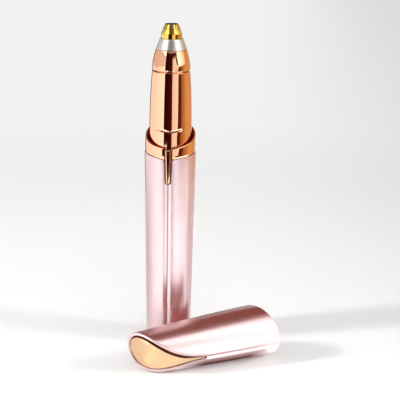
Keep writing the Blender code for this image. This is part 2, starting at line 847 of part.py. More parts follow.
def motor_terminal(end_cap, side, name, finish):
    """A flat terminal in its slit in the end cap, and the lead from it to the board."""
    half = terminal_width / 2
    inner = terminal_offset - terminal_thickness / 2
    outer = terminal_offset + terminal_thickness / 2
    near, far = sorted((side * inner, side * outer))
    root = motor_cap_base + terminal_sunk
    tip = motor_cap_base - terminal_length
    slit_low = (near - fine_gap, -half - fine_gap, motor_cap_base - overrun)
    slit_high = (far + fine_gap, half + fine_gap, root + fine_gap)
    cut(end_cap, block(name + "_slit", slit_low, slit_high, None))
    block("motor_terminal_" + name, (near, -half, tip), (far, half, root), "brass")
    across = side * (board_width / 2 - 2 * lead_radius)
    before = board_face - fine_gap - lead_radius
    beside = side * (inner - fine_gap - lead_radius)
    end = Vector((beside, 0, tip + terminal_length / 3))
    bend = 2 * lead_radius + fine_gap
    route = [
        Vector((across, before, board_top - lead_room / 2)),
        Vector((across, before, board_top + lead_radius)),
        Vector(((across + beside) / 2, board_back, board_top + bend + lead_radius)),
        end,
    ]
    lead("lead_" + name, route, finish)


def drive():
    """What spins: shaft, coupling and post, spring, cutter carrier and blades; and the shaft's bush."""
    coupling_base = deck_top + bush_stand + fit_gap
    coupling_top = coupling_base + coupling_height
    shaft_top = coupling_base + coupling_grip
    post_top = coupling_top + post_height
    carrier_base = post_top - carrier_grip
    carrier_top = carrier_base + carrier_height
    origin = (0, 0, coupling_base)

    shaft_outline = [(shaft_radius, motor_top - shaft_sunk), (shaft_radius, shaft_top)]
    turned("motor_shaft", shaft_outline, pin_sides, "steel", origin=origin)

    bush_bore = shaft_radius + fit_gap
    bush_radius = bush_bore + bush_wall
    bush_top = deck_top + bush_stand
    bush = [
        (bush_radius, bush_top - bush_height),
        (bush_radius, bush_top),
        (bush_bore, bush_top),
        (bush_bore, bush_top - bush_height),
    ]
    turned("shaft_bush", bush, small_sides, "brass", closed=True)

    half = post_width / 2
    coupling_outline = [(coupling_radius, coupling_base), (coupling_radius, coupling_top)]
    coupling = turned("drive_coupling", coupling_outline, small_sides, "white_plastic", origin=origin)
    post_root = coupling_top - (coupling_height - coupling_grip) / 2
    post = block("coupling_post", (-half, -half, post_root), (half, half, post_top), None)
    grip = shaft_radius + fine_gap
    bore_outline = [(grip, coupling_base - overrun), (grip, shaft_top + fine_gap)]
    fuse(coupling, post)
    cut(coupling, turned("coupling_bore", bore_outline, pin_sides, None))

    carrier_outline = [
        (carrier_radius, carrier_base),
        (carrier_radius, carrier_top),
        (carrier_pin_radius, carrier_top),
        (carrier_pin_radius, carrier_top + carrier_pin_height),
    ]
    carrier = turned("cutter_carrier", carrier_outline, small_sides, "black_plastic", origin=origin)
    socket_half = half + fine_gap
    socket_low = (-socket_half, -socket_half, carrier_base - overrun)
    socket_high = (socket_half, socket_half, post_top + fine_gap)
    cut(carrier, block("carrier_socket", socket_low, socket_high, None))

    radius = half * math.sqrt(2) + fine_gap + cutter_wire / 2
    low = coupling_top + fine_gap
    high = carrier_base - fine_gap
    coil("cutter_spring", low, high, (radius, radius), cutter_wire, cutter_turns, 0, "nickel", origin)
    cutter_blades(carrier_top, origin)


def foil_side(height):
    """The foil's outer radius at a height on its cone."""
    share = (height - foil_shoulder) / (foil_top - foil_shoulder)
    return foil_radius - foil_taper * min(max(share, 0), 1)


def cutter_blades(base_top, origin):
    """Blades round a hub, cut to the foil's inside with a running gap."""
    bore_radius = carrier_pin_radius + fine_gap
    hub_radius = bore_radius + blade_hub_wall
    base = base_top + fine_gap
    tip = foil_top - foil_thickness - fit_gap
    slant = math.hypot(foil_top - foil_shoulder, foil_taper) / (foil_top - foil_shoulder)
    inset = (foil_thickness + fit_gap) * slant
    foot = foil_shoulder - blade_foot
    hub_outline = [(hub_radius, base), (hub_radius, tip - blade_thickness)]
    hub = turned("cutter_blades", hub_outline, small_sides, "steel", origin=origin)
    half = blade_thickness / 2
    root = hub_radius / 2
    outline = [
        (root, foot),
        (foil_radius - inset, foot),
        (foil_radius - inset, foil_shoulder),
        (foil_side(tip) - inset, tip),
        (root, tip),
    ]
    for k in range(blade_count):
        turn = Matrix.Rotation(2 * math.pi * k / blade_count, 3, "Z")
        sides = [[turn @ Vector((r, y, z)) for r, z in outline] for y in (-half, half)]
        fuse(hub, loft("blade_%d" % (k + 1), sides, None))
    bore_outline = [(bore_radius, base - overrun), (bore_radius, base_top + carrier_pin_height + fine_gap)]
    cut(hub, turned("blade_bore", bore_outline, pin_sides, None))


def head_shell(origin):
    """The bright shell: drawn in at its foot and more at its top, with a ledge inside."""
    belly = head_base + head_height * head_belly_share
    foot = [(neck_top_radius, head_base), ((neck_top_radius + head_radius) / 2, (head_base + belly) / 2)]
    steps = 8
    for i in range(steps + 1):
        share = i / steps
        radius = head_radius - (head_radius - head_top_radius) * share**head_ogive_share
        foot.append((radius, belly + (head_top - belly) * share))
    ledge_hole = head_upper_bore - head_ledge_width
    inner = [
        (head_upper_bore, head_top),
        (head_upper_bore, head_ledge_top),
        (ledge_hole, head_ledge_top),
        (ledge_hole, head_ledge_base),
        (head_bore, head_ledge_base),
        (head_bore, head_base),
    ]
    turned("head_shell", foot + inner, shell_sides, "rose_gold", closed=True, origin=origin)


def silver_ring(origin):
    """The satin cone between shell and foil, with a spigot into the shell and a lip over the foil."""
    flange_roof = silver_top - foil_flange_drop + fine_gap
    pocket = foil_radius + foil_flange + fine_gap
    spigot_radius = head_upper_bore - fine_gap
    outline = [
        (spigot_radius, silver_foot),
        (spigot_radius, silver_base),
        (ring_base_radius, silver_base),
        (ring_top_radius, silver_top),
        (foil_hole, silver_top),
        (foil_hole, flange_roof),
        (pocket, flange_roof),
        (pocket, silver_foot),
    ]
    turned("silver_ring", outline, head_sides, "silver", closed=True, origin=origin)


def gold_foil(origin):
    """The slotted cap of thin metal: flange, skirt, cone and flat top, cut by radial slots."""
    flange_top = silver_top - foil_flange_drop
    flange_base = flange_top - foil_thickness
    flange_radius = foil_radius + foil_flange
    bore = foil_radius - foil_thickness
    inside_top = foil_top - foil_thickness
    crown = arc((foil_top_radius - foil_edge, foil_top - foil_edge), foil_edge, 20, 90, edge_steps)
    outline = [(foil_side(inside_top) - foil_thickness, inside_top), (bore, foil_shoulder)]
    outline += [(bore, flange_base), (flange_radius, flange_base), (flange_radius, flange_top)]
    outline += [(foil_radius, flange_top), (foil_radius, foil_shoulder)]
    foil = turned("gold_foil", outline + crown, head_sides, "gold", origin=origin)
    outer = foil_radius + overrun
    half = foil_slot_width / 2
    plan = [(foil_slot_start, -half), (outer, -half), (outer, half), (foil_slot_start, half)]
    for k in range(foil_slots):
        turn = Matrix.Rotation(2 * math.pi * (k + 0.5) / foil_slots, 3, "Z")
        heights = (foil_top - foil_slot_depth, foil_top + overrun)
        rows = [[turn @ Vector((x, y, z)) for x, y in plan] for z in heights]
        cut(foil, loft("foil_slot_%02d" % (k + 1), rows, None))


def foil_insert(origin):
    """The plastic ring on the shell's ledge that holds the foil's flange up."""
    radius = foil_radius + foil_flange
    bore = radius - insert_wall
    top = silver_top - foil_flange_drop - foil_thickness - fine_gap
    outline = [(radius, silver_foot), (radius, top), (bore, top), (bore, silver_foot)]
    turned("foil_insert", outline, head_sides, "black_plastic", closed=True, origin=origin)


def head():
    """What pulls off for cleaning."""
    origin = (0, 0, head_base)
    head_shell(origin)
    silver_ring(origin)
    gold_foil(origin)
    foil_insert(origin)


def cap_radius(height):
    share = max(height, 0) / cap_length
    return cap_mouth_radius - cap_taper * share**cap_taper_share


def cut_curve(steps):
    """The curved cut in side view: points (height, frontness), each with its inward direction."""
    start = Vector((cut_start, cap_radius(cut_start)))
    end = Vector((cap_length, -cap_crown_radius))
    lead_on = start + cut_lead * Vector((1, -cut_lead_slope)).normalized()
    drop = end - cut_drop * Vector((math.cos(cut_end_angle), -math.sin(cut_end_angle)))
    points = []
    for i in range(steps + 1):
        t = i / steps
        s = 1 - t
        place = s**3 * start + 3 * s * s * t * lead_on + 3 * s * t * t * drop + t**3 * end
        along = s * s * (lead_on - start) + 2 * s * t * (drop - lead_on) + t * t * (end - drop)
        along.normalize()
        points.append((place, Vector((along.y, -along.x))))
    return points


def cut_prism(name, depth, parent):
    """Everything beyond the curved cut, moved inward by a depth."""
    curve = [place + inward * depth for place, inward in cut_curve(cut_steps)]
    before = (curve[0] - curve[1]).normalized() * cut_lead / 2
    after = (curve[-1] - curve[-2]).normalized() * cap_mouth_radius
    far = cap_length + 2 * cap_mouth_radius
    out = 2 * cap_mouth_radius
    outline = [curve[0] + before] + curve + [curve[-1] + after]
    outline += [Vector((far, outline[-1].y)), Vector((far, out)), Vector((outline[0].x, out))]
    return prism(name, [(-front, up) for up, front in outline], cap_mouth_radius + overrun, None, parent)


def inlay_stations():
    """Where the inlay lies along the cut: points, inward directions and half widths."""
    fine = cut_curve(cut_search_steps)

    def half_width(place):
        radius = cap_radius(place.x)
        if place.y >= 0:
            return math.sqrt(max(radius**2 - place.y**2, 0)) - inlay_rim
        return math.sqrt(max((radius - inlay_rim) ** 2 - place.y**2, 0))

    least = inlay_tip_width / 2
    inside = [i for i, (place, inward) in enumerate(fine) if half_width(place) >= least]
    steps = 26
    stations = []
    for k in range(steps + 1):
        share = (1 - math.cos(math.pi * k / steps)) / 2
        place, inward = fine[round(inside[0] + (inside[-1] - inside[0]) * share)]
        stations.append((place, inward, max(half_width(place), least)))
    return stations


def leaf(name, stations, top, bottom, grow, finish, parent):
    """A leaf-shaped plate along the curved cut, between two depths, grown by a clearance."""
    rows = []
    for k, (place, inward, half) in enumerate(stations):
        end = 1 if k == len(stations) - 1 else -1 if k == 0 else 0
        shift = Vector((-inward.y, inward.x)) * grow * end
        high = place + inward * top + shift
        low = place + inward * bottom + shift
        wide = half + grow
        corners = ((-wide, high), (wide, high), (wide, low), (-wide, low))
        rows.append([Vector((x, -point.y, point.x)) for x, point in corners])
    return loft(name, rows, finish, parent=parent)


def cap_pose():
    """The empty that lays the cap down, mouth towards the handle, on its own rounded side."""
    touch = cap_length * cap_rest_share
    slope = cap_taper_share * cap_taper / cap_length * cap_rest_share ** (cap_taper_share - 1)
    dip = math.atan(slope)
    height = touch * math.sin(dip) + cap_radius(touch) * math.cos(dip)
    turn = (
        Matrix.Rotation(cap_yaw, 4, "Z")
        @ Matrix.Rotation(-math.pi / 2 - dip, 4, "Y")
        @ Matrix.Rotation(-cap_roll, 4, "Z")
    )
    pose = bpy.data.objects.new("cap_pose", None)
    bpy.context.scene.collection.objects.link(pose)
    pose.matrix_world = Matrix.Translation((cap_aside, -cap_ahead, height)) @ turn
    return pose


def cap():
    """The cap: shell with its curved cut, hollow, slanted mouth and groove, and the inlaid plate."""
    pose = cap_pose()
    stations = inlay_stations()
    tip = stations[0][0].x
    pocket_depth = inlay_recess + inlay_thickness + fine_gap
    pocket = leaf("inlay_pocket", stations, -overrun, pocket_depth, fine_gap, None, pose)
    plate_bottom = inlay_recess + inlay_thickness
    leaf("cap_inlay", stations, inlay_recess, plate_bottom, 0, "rose_gold", pose)

    lift = math.tan(rim_tilt)
    low = -lift * cap_mouth_radius - overrun
    high = cap_length + overrun
    near_rows = 4
    far_rows = 8
    heights = [low]
    heights += [tip * i / near_rows for i in range(near_rows + 1)]
    heights += [tip + groove_end + (high - tip - groove_end) * i / far_rows for i in range(far_rows + 1)]
    rings = []
    for here in heights:
        depth = cap_groove_depth if here <= tip else 0
        rings.append(grooved_ring(cap_radius(here), cap_groove_width, depth, here))
    shell = loft("cap_shell", rings, "pink_satin", parent=pose)

    wide = cap_mouth_radius + overrun
    below = low - 2 * overrun
    mouth_outline = [(-wide, -lift * wide), (wide, lift * wide), (wide, below), (-wide, below)]
    mouth = prism("cap_mouth", mouth_outline, wide, None, pose)
    steps = 8
    inner = []
    for i in range(steps + 1):
        here = low + (high - low) * i / steps
        share = min(max(here / cap_wall_run, 0), 1)
        wall = cap_mouth_wall + (cap_crown_wall - cap_mouth_wall) * share
        inner.append((cap_radius(here) - wall, here))
    cavity = turned("cap_cavity", inner, head_sides, None, parent=pose)
    cut(cavity, cut_prism("cavity_limit", cap_crown_wall, pose))
    cut(shell, cut_prism("cap_cut", 0, pose), mouth, cavity, pocket)


def build():
    for thing in list(bpy.data.objects):
        bpy.data.objects.remove(thing, do_unlink=True)
    handle_sleeve()
    collar()
    neck_shell()
    friction_ring()
    slide_button()
    switch()
    chassis_frame()
    cell()
    negative_contact()
    positive_contact()
    circuit_board()
    motor()
    drive()
    head()
    cap()


build()
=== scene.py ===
import math

import bmesh
import bpy
from mathutils import Matrix, Vector


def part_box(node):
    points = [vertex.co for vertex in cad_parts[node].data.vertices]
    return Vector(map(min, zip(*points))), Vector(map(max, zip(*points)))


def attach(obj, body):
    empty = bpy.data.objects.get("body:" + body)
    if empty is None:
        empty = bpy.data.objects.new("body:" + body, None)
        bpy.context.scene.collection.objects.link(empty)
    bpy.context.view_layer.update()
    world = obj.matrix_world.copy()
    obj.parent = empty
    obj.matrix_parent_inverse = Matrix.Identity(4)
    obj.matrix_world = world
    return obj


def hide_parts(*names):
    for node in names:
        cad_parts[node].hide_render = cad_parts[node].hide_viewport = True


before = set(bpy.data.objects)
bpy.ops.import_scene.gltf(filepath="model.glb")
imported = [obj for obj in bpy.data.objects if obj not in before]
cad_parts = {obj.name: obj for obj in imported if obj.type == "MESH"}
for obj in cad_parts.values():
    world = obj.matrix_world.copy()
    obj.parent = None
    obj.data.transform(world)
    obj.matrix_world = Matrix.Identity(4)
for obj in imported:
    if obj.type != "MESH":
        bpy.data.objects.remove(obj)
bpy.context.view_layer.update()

mm = 0.001
up = Vector((0, 0, 1))
meet = 2e-7  # points nearer than this are merged

# Everything below is in metres, in the CAD model's own place. The front is -Y.

camera = {
    "turn": 3.32,  # degrees to the right of straight ahead
    "pitch": 15.8,  # looking down
    "roll": 1.08,
    "place": (33.9, -398.7, 166.0),  # in mm
    "lens": 105,
    "sensor": 36,
    "nearest": 0.01,
}

studio = {
    "floorRadius": 3.0,
    "floorRings": 24,
    "floorSides": 96,
    "floorNear": (1.0, 1.0, 0.992),
    "floorFar": (0.885, 0.885, 0.880),
    "fade": (0.12, 0.40),  # the floor's tone fades between these distances
    "ownLight": 0.12,  # share of the near floor that keeps its tone in the shadows
    "sideShade": 0.19,  # how much darker the floor is at the right
    "sideRun": (0, 0.20),  # where that sets in, to the right and to the back
    "sideDepth": (-0.05, 0.06),
    "wall": (0.86, 0.86, 0.855),
    "sky": 0.38,
    "backdrop": (0.80, 0.785, 0.77),  # what polished metal mirrors: behind, in front and high up
    "room": (0.46, 0.42, 0.39),
    "loft": (0.26, 0.075, 0.050),
    "behind": (-0.15, 0.15),  # where these meet, in shares of a direction
    "loftHeight": (0.38, 0.52),
    "loftDepth": (-0.45, -0.20),
    "lamps": (
        # degrees from the camera's side to the right, height in degrees, distance, size, watts
        ("lampLeft", -73, 33, 0.75, 0.08, 2.9),
        ("lampRight", 75, 30, 0.75, 0.10, 1.9),
        ("lampTop", 15, 62, 0.80, 0.60, 1.5),
    ),
    "cardSteps": 12,
    "cardLift": 0.001,  # how high a card lies over the floor if its row gives no height
    "cards": (
        # what the metal mirrors: tones of the left and right edge, and rows of
        # (distance, from and to in degrees, and where it stands the height or left and right height)
        ("cardDark", (0.008, 0.001, 0.001), (0.070, 0.008, 0.008), (
            (0.135, -6, 6), (0.217, -6, 6), (0.218, -19, 8), (0.250, -19, 8), (0.251, -37, 8),
            (2.0, -35, 8), (2.0, -34, 9, 0.70), (2.0, -43, 12, 0.77), (2.0, -44, 34, 0.80),
            (2.0, -44, 34, 0.93))),
        ("cardUmber", (0.16, 0.08, 0.03), (0.32, 0.20, 0.09), (
            (2.0, -33, 22, 1.13), (2.0, -33, 24, 1.9))),
        ("cardStrip", (0.95, 0.90, 0.88), (1.18, 1.14, 1.10), (
            (0.218, 9, 24), (0.250, 9, 24), (0.251, 9, 37), (0.33, 9, 37), (0.34, 9, 39),
            (2.0, 9, 43), (2.0, 10, 47, 0.23), (2.0, 10, 34, 0.47), (2.0, 11, 30, 0.71))),
        ("cardRight", (0.075, 0.012, 0.003), (0.12, 0.026, 0.006), (
            (0.218, 24, 56), (0.250, 24, 56), (0.251, 37, 56), (0.33, 37, 56), (0.34, 39, 60),
            (2.0, 43, 60), (2.0, 47, 58, 0.23), (2.0, 34, 43, 0.47), (2.0, 30, 37, 0.71))),
        ("cardAmber", (0.30, 0.11, 0.022), (0.82, 0.47, 0.19), (
            (0.218, 56, 100), (0.33, 56, 100), (2.0, 60, 100), (2.0, 58, 100, 0.27))),
        ("cardTan", (0.82, 0.47, 0.19), (0.60, 0.40, 0.26), (
            (0.218, 100, 150), (2.0, 100, 150), (2.0, 96, 150, 0.69))),
        ("cardCream", (1.04, 0.98, 0.98), (1.42, 1.42, 1.46), (
            (0.218, -147, -19), (0.250, -147, -19), (0.251, -147, -37), (2.0, -147, -36),
            (2.0, -147, -35, -0.19, 0.33))),
        ("cardHaze", (0.80, 0.62, 0.50), (0.92, 0.92, 0.92), (
            (2.0, -147, -35, -0.19, 0.33), (2.0, -147, -35, 0.71))),
        ("cardEdge", (0.12, 0.05, 0.025), (0.14, 0.06, 0.03), (
            (0.200, -180, -147), (2.0, -180, -147), (2.0, -180, -147, 0.69))),
        ("boxLeft", (1.5, 1.5, 1.5), (2.3, 2.3, 2.25), (
            (1.9, -88, -34, 0.72), (1.9, -88, -34, 2.4))),
        ("boxRight", (2.3, 2.3, 2.3), (1.05, 0.92, 0.80), (
            (1.9, 46, 92, 0.27), (1.9, 42, 92, 0.80), (1.9, 20, 110, 3.4))),
        ("boxLow", (1.75, 1.75, 1.75), (1.30, 1.30, 1.30), (
            (0.10, 22, 85, 0.0006), (0.10, 22, 85, 0.030))),
        ("sheenLeft", (1.30, 1.30, 1.30), (1.75, 1.75, 1.75), (
            (0.04, -84, -24, 0.0006), (0.217, -84, -22, 0.0006))),
        ("sheenRight", (1.75, 1.75, 1.75), (1.40, 1.40, 1.40), (
            (0.04, 22, 88, 0.0006), (0.217, 22, 88, 0.0006))),
        ("sheenHigh", (1.8, 2.0, 2.05), (2.4, 2.8, 2.9), (
            (0.175, 24, 92, 0.0009), (0.217, 24, 92, 0.0009))),
        ("shadeFoot", (0.46, 0.13, 0.15), (0.30, 0.13, 0.11), (
            (0.015, 9, 100, 0.0004), (0.015, 11, 96, 0.0080, 0.0125))),
        ("glint", (1.06, 1.16, 0.98), (1.10, 1.22, 1.02), (
            (0.0335, -21, -13, 0.0005), (0.046, -20, -14, 0.0005))),
        ("shadeBehind", (0.84, 0.76, 0.76), (0.76, 0.66, 0.66), (
            (0.02, 112, 248, 0.0006), (0.25, 112, 248, 0.0006))),
    ),
}


class Wire:
    # A socket of a node tree: sums of wires add Math nodes, and node() adds any other
    def __init__(self, tree, socket=None):
        self.tree = tree
        self.socket = socket

    def node(self, kind, settings=None, inputs=None, output=0):
        made = self.tree.nodes.new("ShaderNode" + kind)
        for name, value in (settings or {}).items():
            setattr(made, name, value)
        for name, value in (inputs or {}).items():
            socket = made.inputs[name]
            if isinstance(value, Wire):
                self.tree.links.new(value.socket, socket)
            else:
                socket.default_value = (*value, 1) if socket.type == "RGBA" else value
        return Wire(self.tree, made.outputs[output])

    def sum(self, operation, first, second):
        return self.node("Math", {"operation": operation}, {0: first, 1: second})

    def __add__(self, other):
        return self.sum("ADD", self, other)

    def __radd__(self, other):
        return self.sum("ADD", other, self)

    def __sub__(self, other):
        return self.sum("SUBTRACT", self, other)

    def __rsub__(self, other):
        return self.sum("SUBTRACT", other, self)

    def __mul__(self, other):
        return self.sum("MULTIPLY", self, other)

    def __rmul__(self, other):
        return self.sum("MULTIPLY", other, self)

    def __gt__(self, other):
        return self.sum("GREATER_THAN", self, other)

    def __lt__(self, other):
        return self.sum("LESS_THAN", self, other)

    def clear(self):
        return self.node("Clamp", {}, {"Value": self})

    def smooth(self, low, high):
        # 0 under the low value, 1 over the high one
        inputs = {"Value": self, "From Min": low, "From Max": high}
        return self.node("MapRange", {"interpolation_type": "SMOOTHSTEP"}, inputs)

    def tint(self, low, high):
        # a colour between two, by this value; a Mix node has its colour sockets at 6, 7 and 2
        return self.node("Mix", {"data_type": "RGBA"}, {0: self, 6: low, 7: high}, 2)

    def part(self, axis):
        return self.node("SeparateXYZ", {}, {"Vector": self}, axis)

    def show(self, output):
        self.tree.links.new(self.socket, self.tree.nodes[output].inputs["Surface"])


def place(wire, stretch=(1, 1, 1)):
    # a point of the piece itself, in metres, stretched along its axes
    here = wire.node("TexCoord", output="Object")
    return wire.node("Mapping", {}, {"Vector": here, "Scale": stretch})


def noise(wire, size, stretch=(1, 1, 1), detail=2.0):
    # even noise whose blotches are about the given size across
    settings = {"Vector": place(wire, stretch), "Scale": 1 / size, "Detail": detail, "Roughness": 0.55}
    return wire.node("TexNoise", {}, settings, "Fac")


def cells(wire, size):
    # a random value for each small cell
    found = wire.node("TexVoronoi", {}, {"Vector": place(wire), "Scale": 1 / size}, "Color")
    return wire.node("SeparateColor", {}, {"Color": found})


def bump(wire, height, depth):
    return wire.node("Bump", {}, {"Height": height, "Distance": depth, "Strength": 1.0})


finishes = {}


def finish(name, sockets, fixed=None):
    # a Principled material; sockets(wire) gives what varies and fixed what doesn't
    made = bpy.data.materials.new(name)
    made.use_nodes = True
    shader = made.node_tree.nodes["Principled BSDF"]
    for key, value in (fixed or {}).items():
        shader.inputs[key].default_value = value
    for key, value in sockets(Wire(made.node_tree)).items():
        made.node_tree.links.new(value.socket, shader.inputs[key])
    finishes[name] = made


def drifting(size, low, high, rough, depth, detail=4.0, relief=None):
    # a plain finish: one drift of tone and gloss, which is its relief too if that has no noise of its own
    def build(wire):
        drift = noise(wire, size, detail=detail)
        return {
            "Base Color": drift.tint(low, high),
            "Roughness": drift * 0.2 + rough,
            "Normal": bump(wire, noise(wire, *relief) if relief else drift, depth),
        }
    return build


def toned(base, size, detail, low, high):
    # another finish with a colour of its own
    def build(wire):
        return {**base(wire), "Base Color": noise(wire, size, detail=detail).tint(low, high)}
    return build


pinkTones = {
    "low": (0.80, 0.585, 0.600),
    "high": (0.86, 0.66, 0.672),
    "roughness": 0.24,
    "spread": 0.07,
    "grain": 0.00012,
    "blotch": 0.012,
    "depth": 0.000006,
}


def pinkSatin(wire):
    # anodised aluminium, blasted fine: a tight grain, glints and slow drifts of tone
    glint = cells(wire, pinkTones["grain"])
    drift = noise(wire, pinkTones["blotch"])
    grain = noise(wire, pinkTones["grain"], detail=3.0)
    return {
        "Base Color": (drift * 0.6 + glint * 0.4).clear().tint(pinkTones["low"], pinkTones["high"]),
        "Roughness": drift * pinkTones["spread"] + glint * 0.04 + pinkTones["roughness"],
        "Normal": bump(wire, grain, pinkTones["depth"]),
    }


roseTones = {
    "low": (0.94, 0.53, 0.325),
    "high": (0.97, 0.585, 0.375),
    "roughness": 0.045,
    "smudge": 0.010,
    "wipe": 0.0009,
    "peel": 0.00144,
    "depth": 0.0000012,
}


def roseGold(wire):
    # polished plating: faint smudges, wiping marks along the axis and a trace of orange peel
    smudge = noise(wire, roseTones["smudge"], detail=4.0)
    wipe = noise(wire, roseTones["wipe"], (1, 1, 0.06), 3.0)
    return {
        "Base Color": smudge.tint(roseTones["low"], roseTones["high"]),
        "Roughness": (smudge - 0.5).clear() * 0.16 + wipe * 0.02 + roseTones["roughness"],
        "Normal": bump(wire, noise(wire, roseTones["peel"]), roseTones["depth"]),
    }


def silverSatin(wire):
    # turned silver: fine rings left by the lathe, and slow drifts of tone
    rings = noise(wire, 0.00007, (0.02, 0.02, 1), 2.0)
    drift = noise(wire, 0.003)
    return {
        "Base Color": (rings * 0.5 + drift * 0.5).tint((0.64, 0.66, 0.65), (0.80, 0.82, 0.81)),
        "Roughness": rings * 0.08 + drift * 0.05 + 0.25,
        "Normal": bump(wire, rings, 0.000004),
    }


def goldPolished(wire):
    # polished gold foil: deeper in places, with a few fine scores round it
    drift = noise(wire, 0.0022, detail=3.0)
    scores = noise(wire, 0.00016, (0.05, 0.05, 1), 2.0)
    return {
        "Base Color": drift.tint((0.68, 0.42, 0.03), (0.90, 0.68, 0.21)),
        "Roughness": (scores - 0.45).clear() * 0.25 + drift * 0.05 + 0.06,
        "Normal": bump(wire, drift * 0.7 + scores * 0.3, 0.000012),
    }


def turnedSteel(wire):
    rings = noise(wire, 0.00012, (0.03, 0.03, 1), 3.0)
    drift = noise(wire, 0.004)
    return {
        "Base Color": (rings * 0.6 + drift * 0.4).tint((0.50, 0.50, 0.51), (0.72, 0.72, 0.73)),
        "Roughness": rings * 0.16 + 0.17,
        "Normal": bump(wire, rings, 0.000006),
    }


def moulded(low, high, rough):
    # moulded plastic: spark-eroded grain, slow drifts of tone and a few pale scuffs
    def build(wire):
        grain = noise(wire, 0.00018, detail=3.0)
        drift = noise(wire, 0.006)
        scuff = (noise(wire, 0.0012, detail=5.0) - 0.66).clear() * 2.5
        return {
            "Base Color": (drift * 0.6 + grain * 0.2 + scuff * 0.5).clear().tint(low, high),
            "Roughness": grain * 0.14 + drift * 0.08 + rough,
            "Normal": bump(wire, grain, 0.000014),
        }
    return build


boardTones = {"mask": (0.012, 0.13, 0.055), "track": (0.03, 0.26, 0.12), "pitch": 0.0011}


def boardMask(wire):
    # solder mask over copper tracks: the tracks show as paler, slightly raised stripes
    turned = wire.node("VectorRotate", {"rotation_type": "X_AXIS"}, {
        "Vector": place(wire), "Angle": math.pi / 2})
    tracks = wire.node("TexBrick", {"offset": 0.5, "squash": 1.0}, {
        "Vector": turned, "Scale": 1 / boardTones["pitch"], "Mortar Size": 0.13, "Mortar Smooth": 0.3,
        "Brick Width": 2.2, "Row Height": 0.8}, "Fac")
    return {
        "Base Color": tracks.tint(boardTones["mask"], boardTones["track"]),
        "Roughness": noise(wire, 0.0004) * 0.12 + 0.22,
        "Normal": bump(wire, tracks, 0.00003),
    }


jacket = {
    "dark": (0.045, 0.06, 0.085),
    "band": (0.62, 0.40, 0.20),
    "bare": (0.60, 0.59, 0.56),
    "bandShares": (0.80, 0.965),  # of the cell's length
    "bareShare": 0.978,
}


def cellJacket(wire):
    # a plain printed sleeve: dark, with one copper-coloured band, over a bare nub
    low, high = (corner.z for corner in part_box("cell"))
    share = (place(wire).part("Z") - low) * (1 / (high - low))
    start, end = jacket["bandShares"]
    band = (share > start) * (share < end)
    bare = share > jacket["bareShare"]
    film = noise(wire, 0.002, detail=3.0)
    return {
        "Base Color": bare.tint(band.tint(jacket["dark"], jacket["band"]), jacket["bare"]),
        "Roughness": film * 0.12 + 0.22,
        "Metallic": (band * 0.6 + bare).clear(),
        "Normal": bump(wire, film, 0.00001),
    }


metal = {"Metallic": 1.0}
paintedGrooveShade = toned(pinkSatin, pinkTones["blotch"], 2.0, (0.38, 0.26, 0.27), (0.44, 0.31, 0.32))
rosePale = toned(roseGold, roseTones["smudge"], 4.0, (0.95, 0.60, 0.36), (0.98, 0.67, 0.41))
paintedBoreShade = drifting(0.0025, (0.38, 0.045, 0.010), (0.48, 0.075, 0.018), 0.28, roseTones["depth"])
paintedRecessShade = drifting(0.0025, (0.085, 0.008, 0.003), (0.13, 0.016, 0.006), 0.28, roseTones["depth"])
paintedFoilShade = drifting(0.0012, (0.10, 0.045, 0.006), (0.20, 0.10, 0.015), 0.3, 0.000004, 3.0)
nickel = drifting(0.0016, (0.56, 0.53, 0.46), (0.74, 0.72, 0.66), 0.16, 0.000005, 4.0, (0.0003,))
drawn = (0.0002, (0.1, 0.1, 1))  # the relief of drawn brass
brass = drifting(0.0014, (0.62, 0.42, 0.14), (0.84, 0.66, 0.32), 0.2, 0.000005, 4.0, drawn)
rubber = drifting(0.0002, (0.02, 0.02, 0.02), (0.06, 0.06, 0.058), 0.55, 0.00002, 3.0)

finish("pinkSatin", pinkSatin, metal)
finish("pinkShade", paintedGrooveShade, {"Metallic": 0.85})  # painted shade along the groove's bottom
finish("roseGold", roseGold, metal)
finish("paleRose", rosePale, metal)  # the cap's plate, a little yellower
finish("roseShade", paintedBoreShade, {"Metallic": 0.25})  # painted shade on the same plating, inside the collar above its ledge
# painted shade on the same plating: on the bar's sides, in the neck's crease and in the cap's pocket
finish("roseRecessShade", paintedRecessShade)
finish("silverSatin", silverSatin, metal)
finish("foilShade", paintedFoilShade, metal)  # painted shade in the foil's slots and inside
finish("goldPolished", goldPolished, metal)
finish("turnedSteel", turnedSteel, metal)
finish("nickelPlate", nickel, metal)
finish("plainBrass", brass, metal)
finish("blackMoulded", moulded((0.014, 0.014, 0.016), (0.05, 0.05, 0.055), 0.36))
finish("whiteMoulded", moulded((0.74, 0.735, 0.71), (0.86, 0.855, 0.84), 0.34))
finish("boardMask", boardMask, {"IOR": 1.52, "Coat Weight": 0.4})
finish("cellJacket", cellJacket)
finish("softRubber", rubber)
finish("blackWire", moulded((0.012, 0.012, 0.012), (0.04, 0.04, 0.04), 0.3))
finish("redWire", moulded((0.42, 0.02, 0.015), (0.62, 0.05, 0.035), 0.3))
print("finishes made")


def between(low, high, count):
    # even steps from low to high, with both ends
    return [low + (high - low) * k / count for k in range(count + 1)]


def fullTurn(sides):
    return between(0, 2 * math.pi, sides)[:-1]


def facing(angle):
    # the level direction at an angle to the right of the front
    return Vector((math.sin(angle), -math.cos(angle), 0))


def linked(name, data):
    made = bpy.data.objects.new(name, data)
    bpy.context.scene.collection.objects.link(made)
    return made


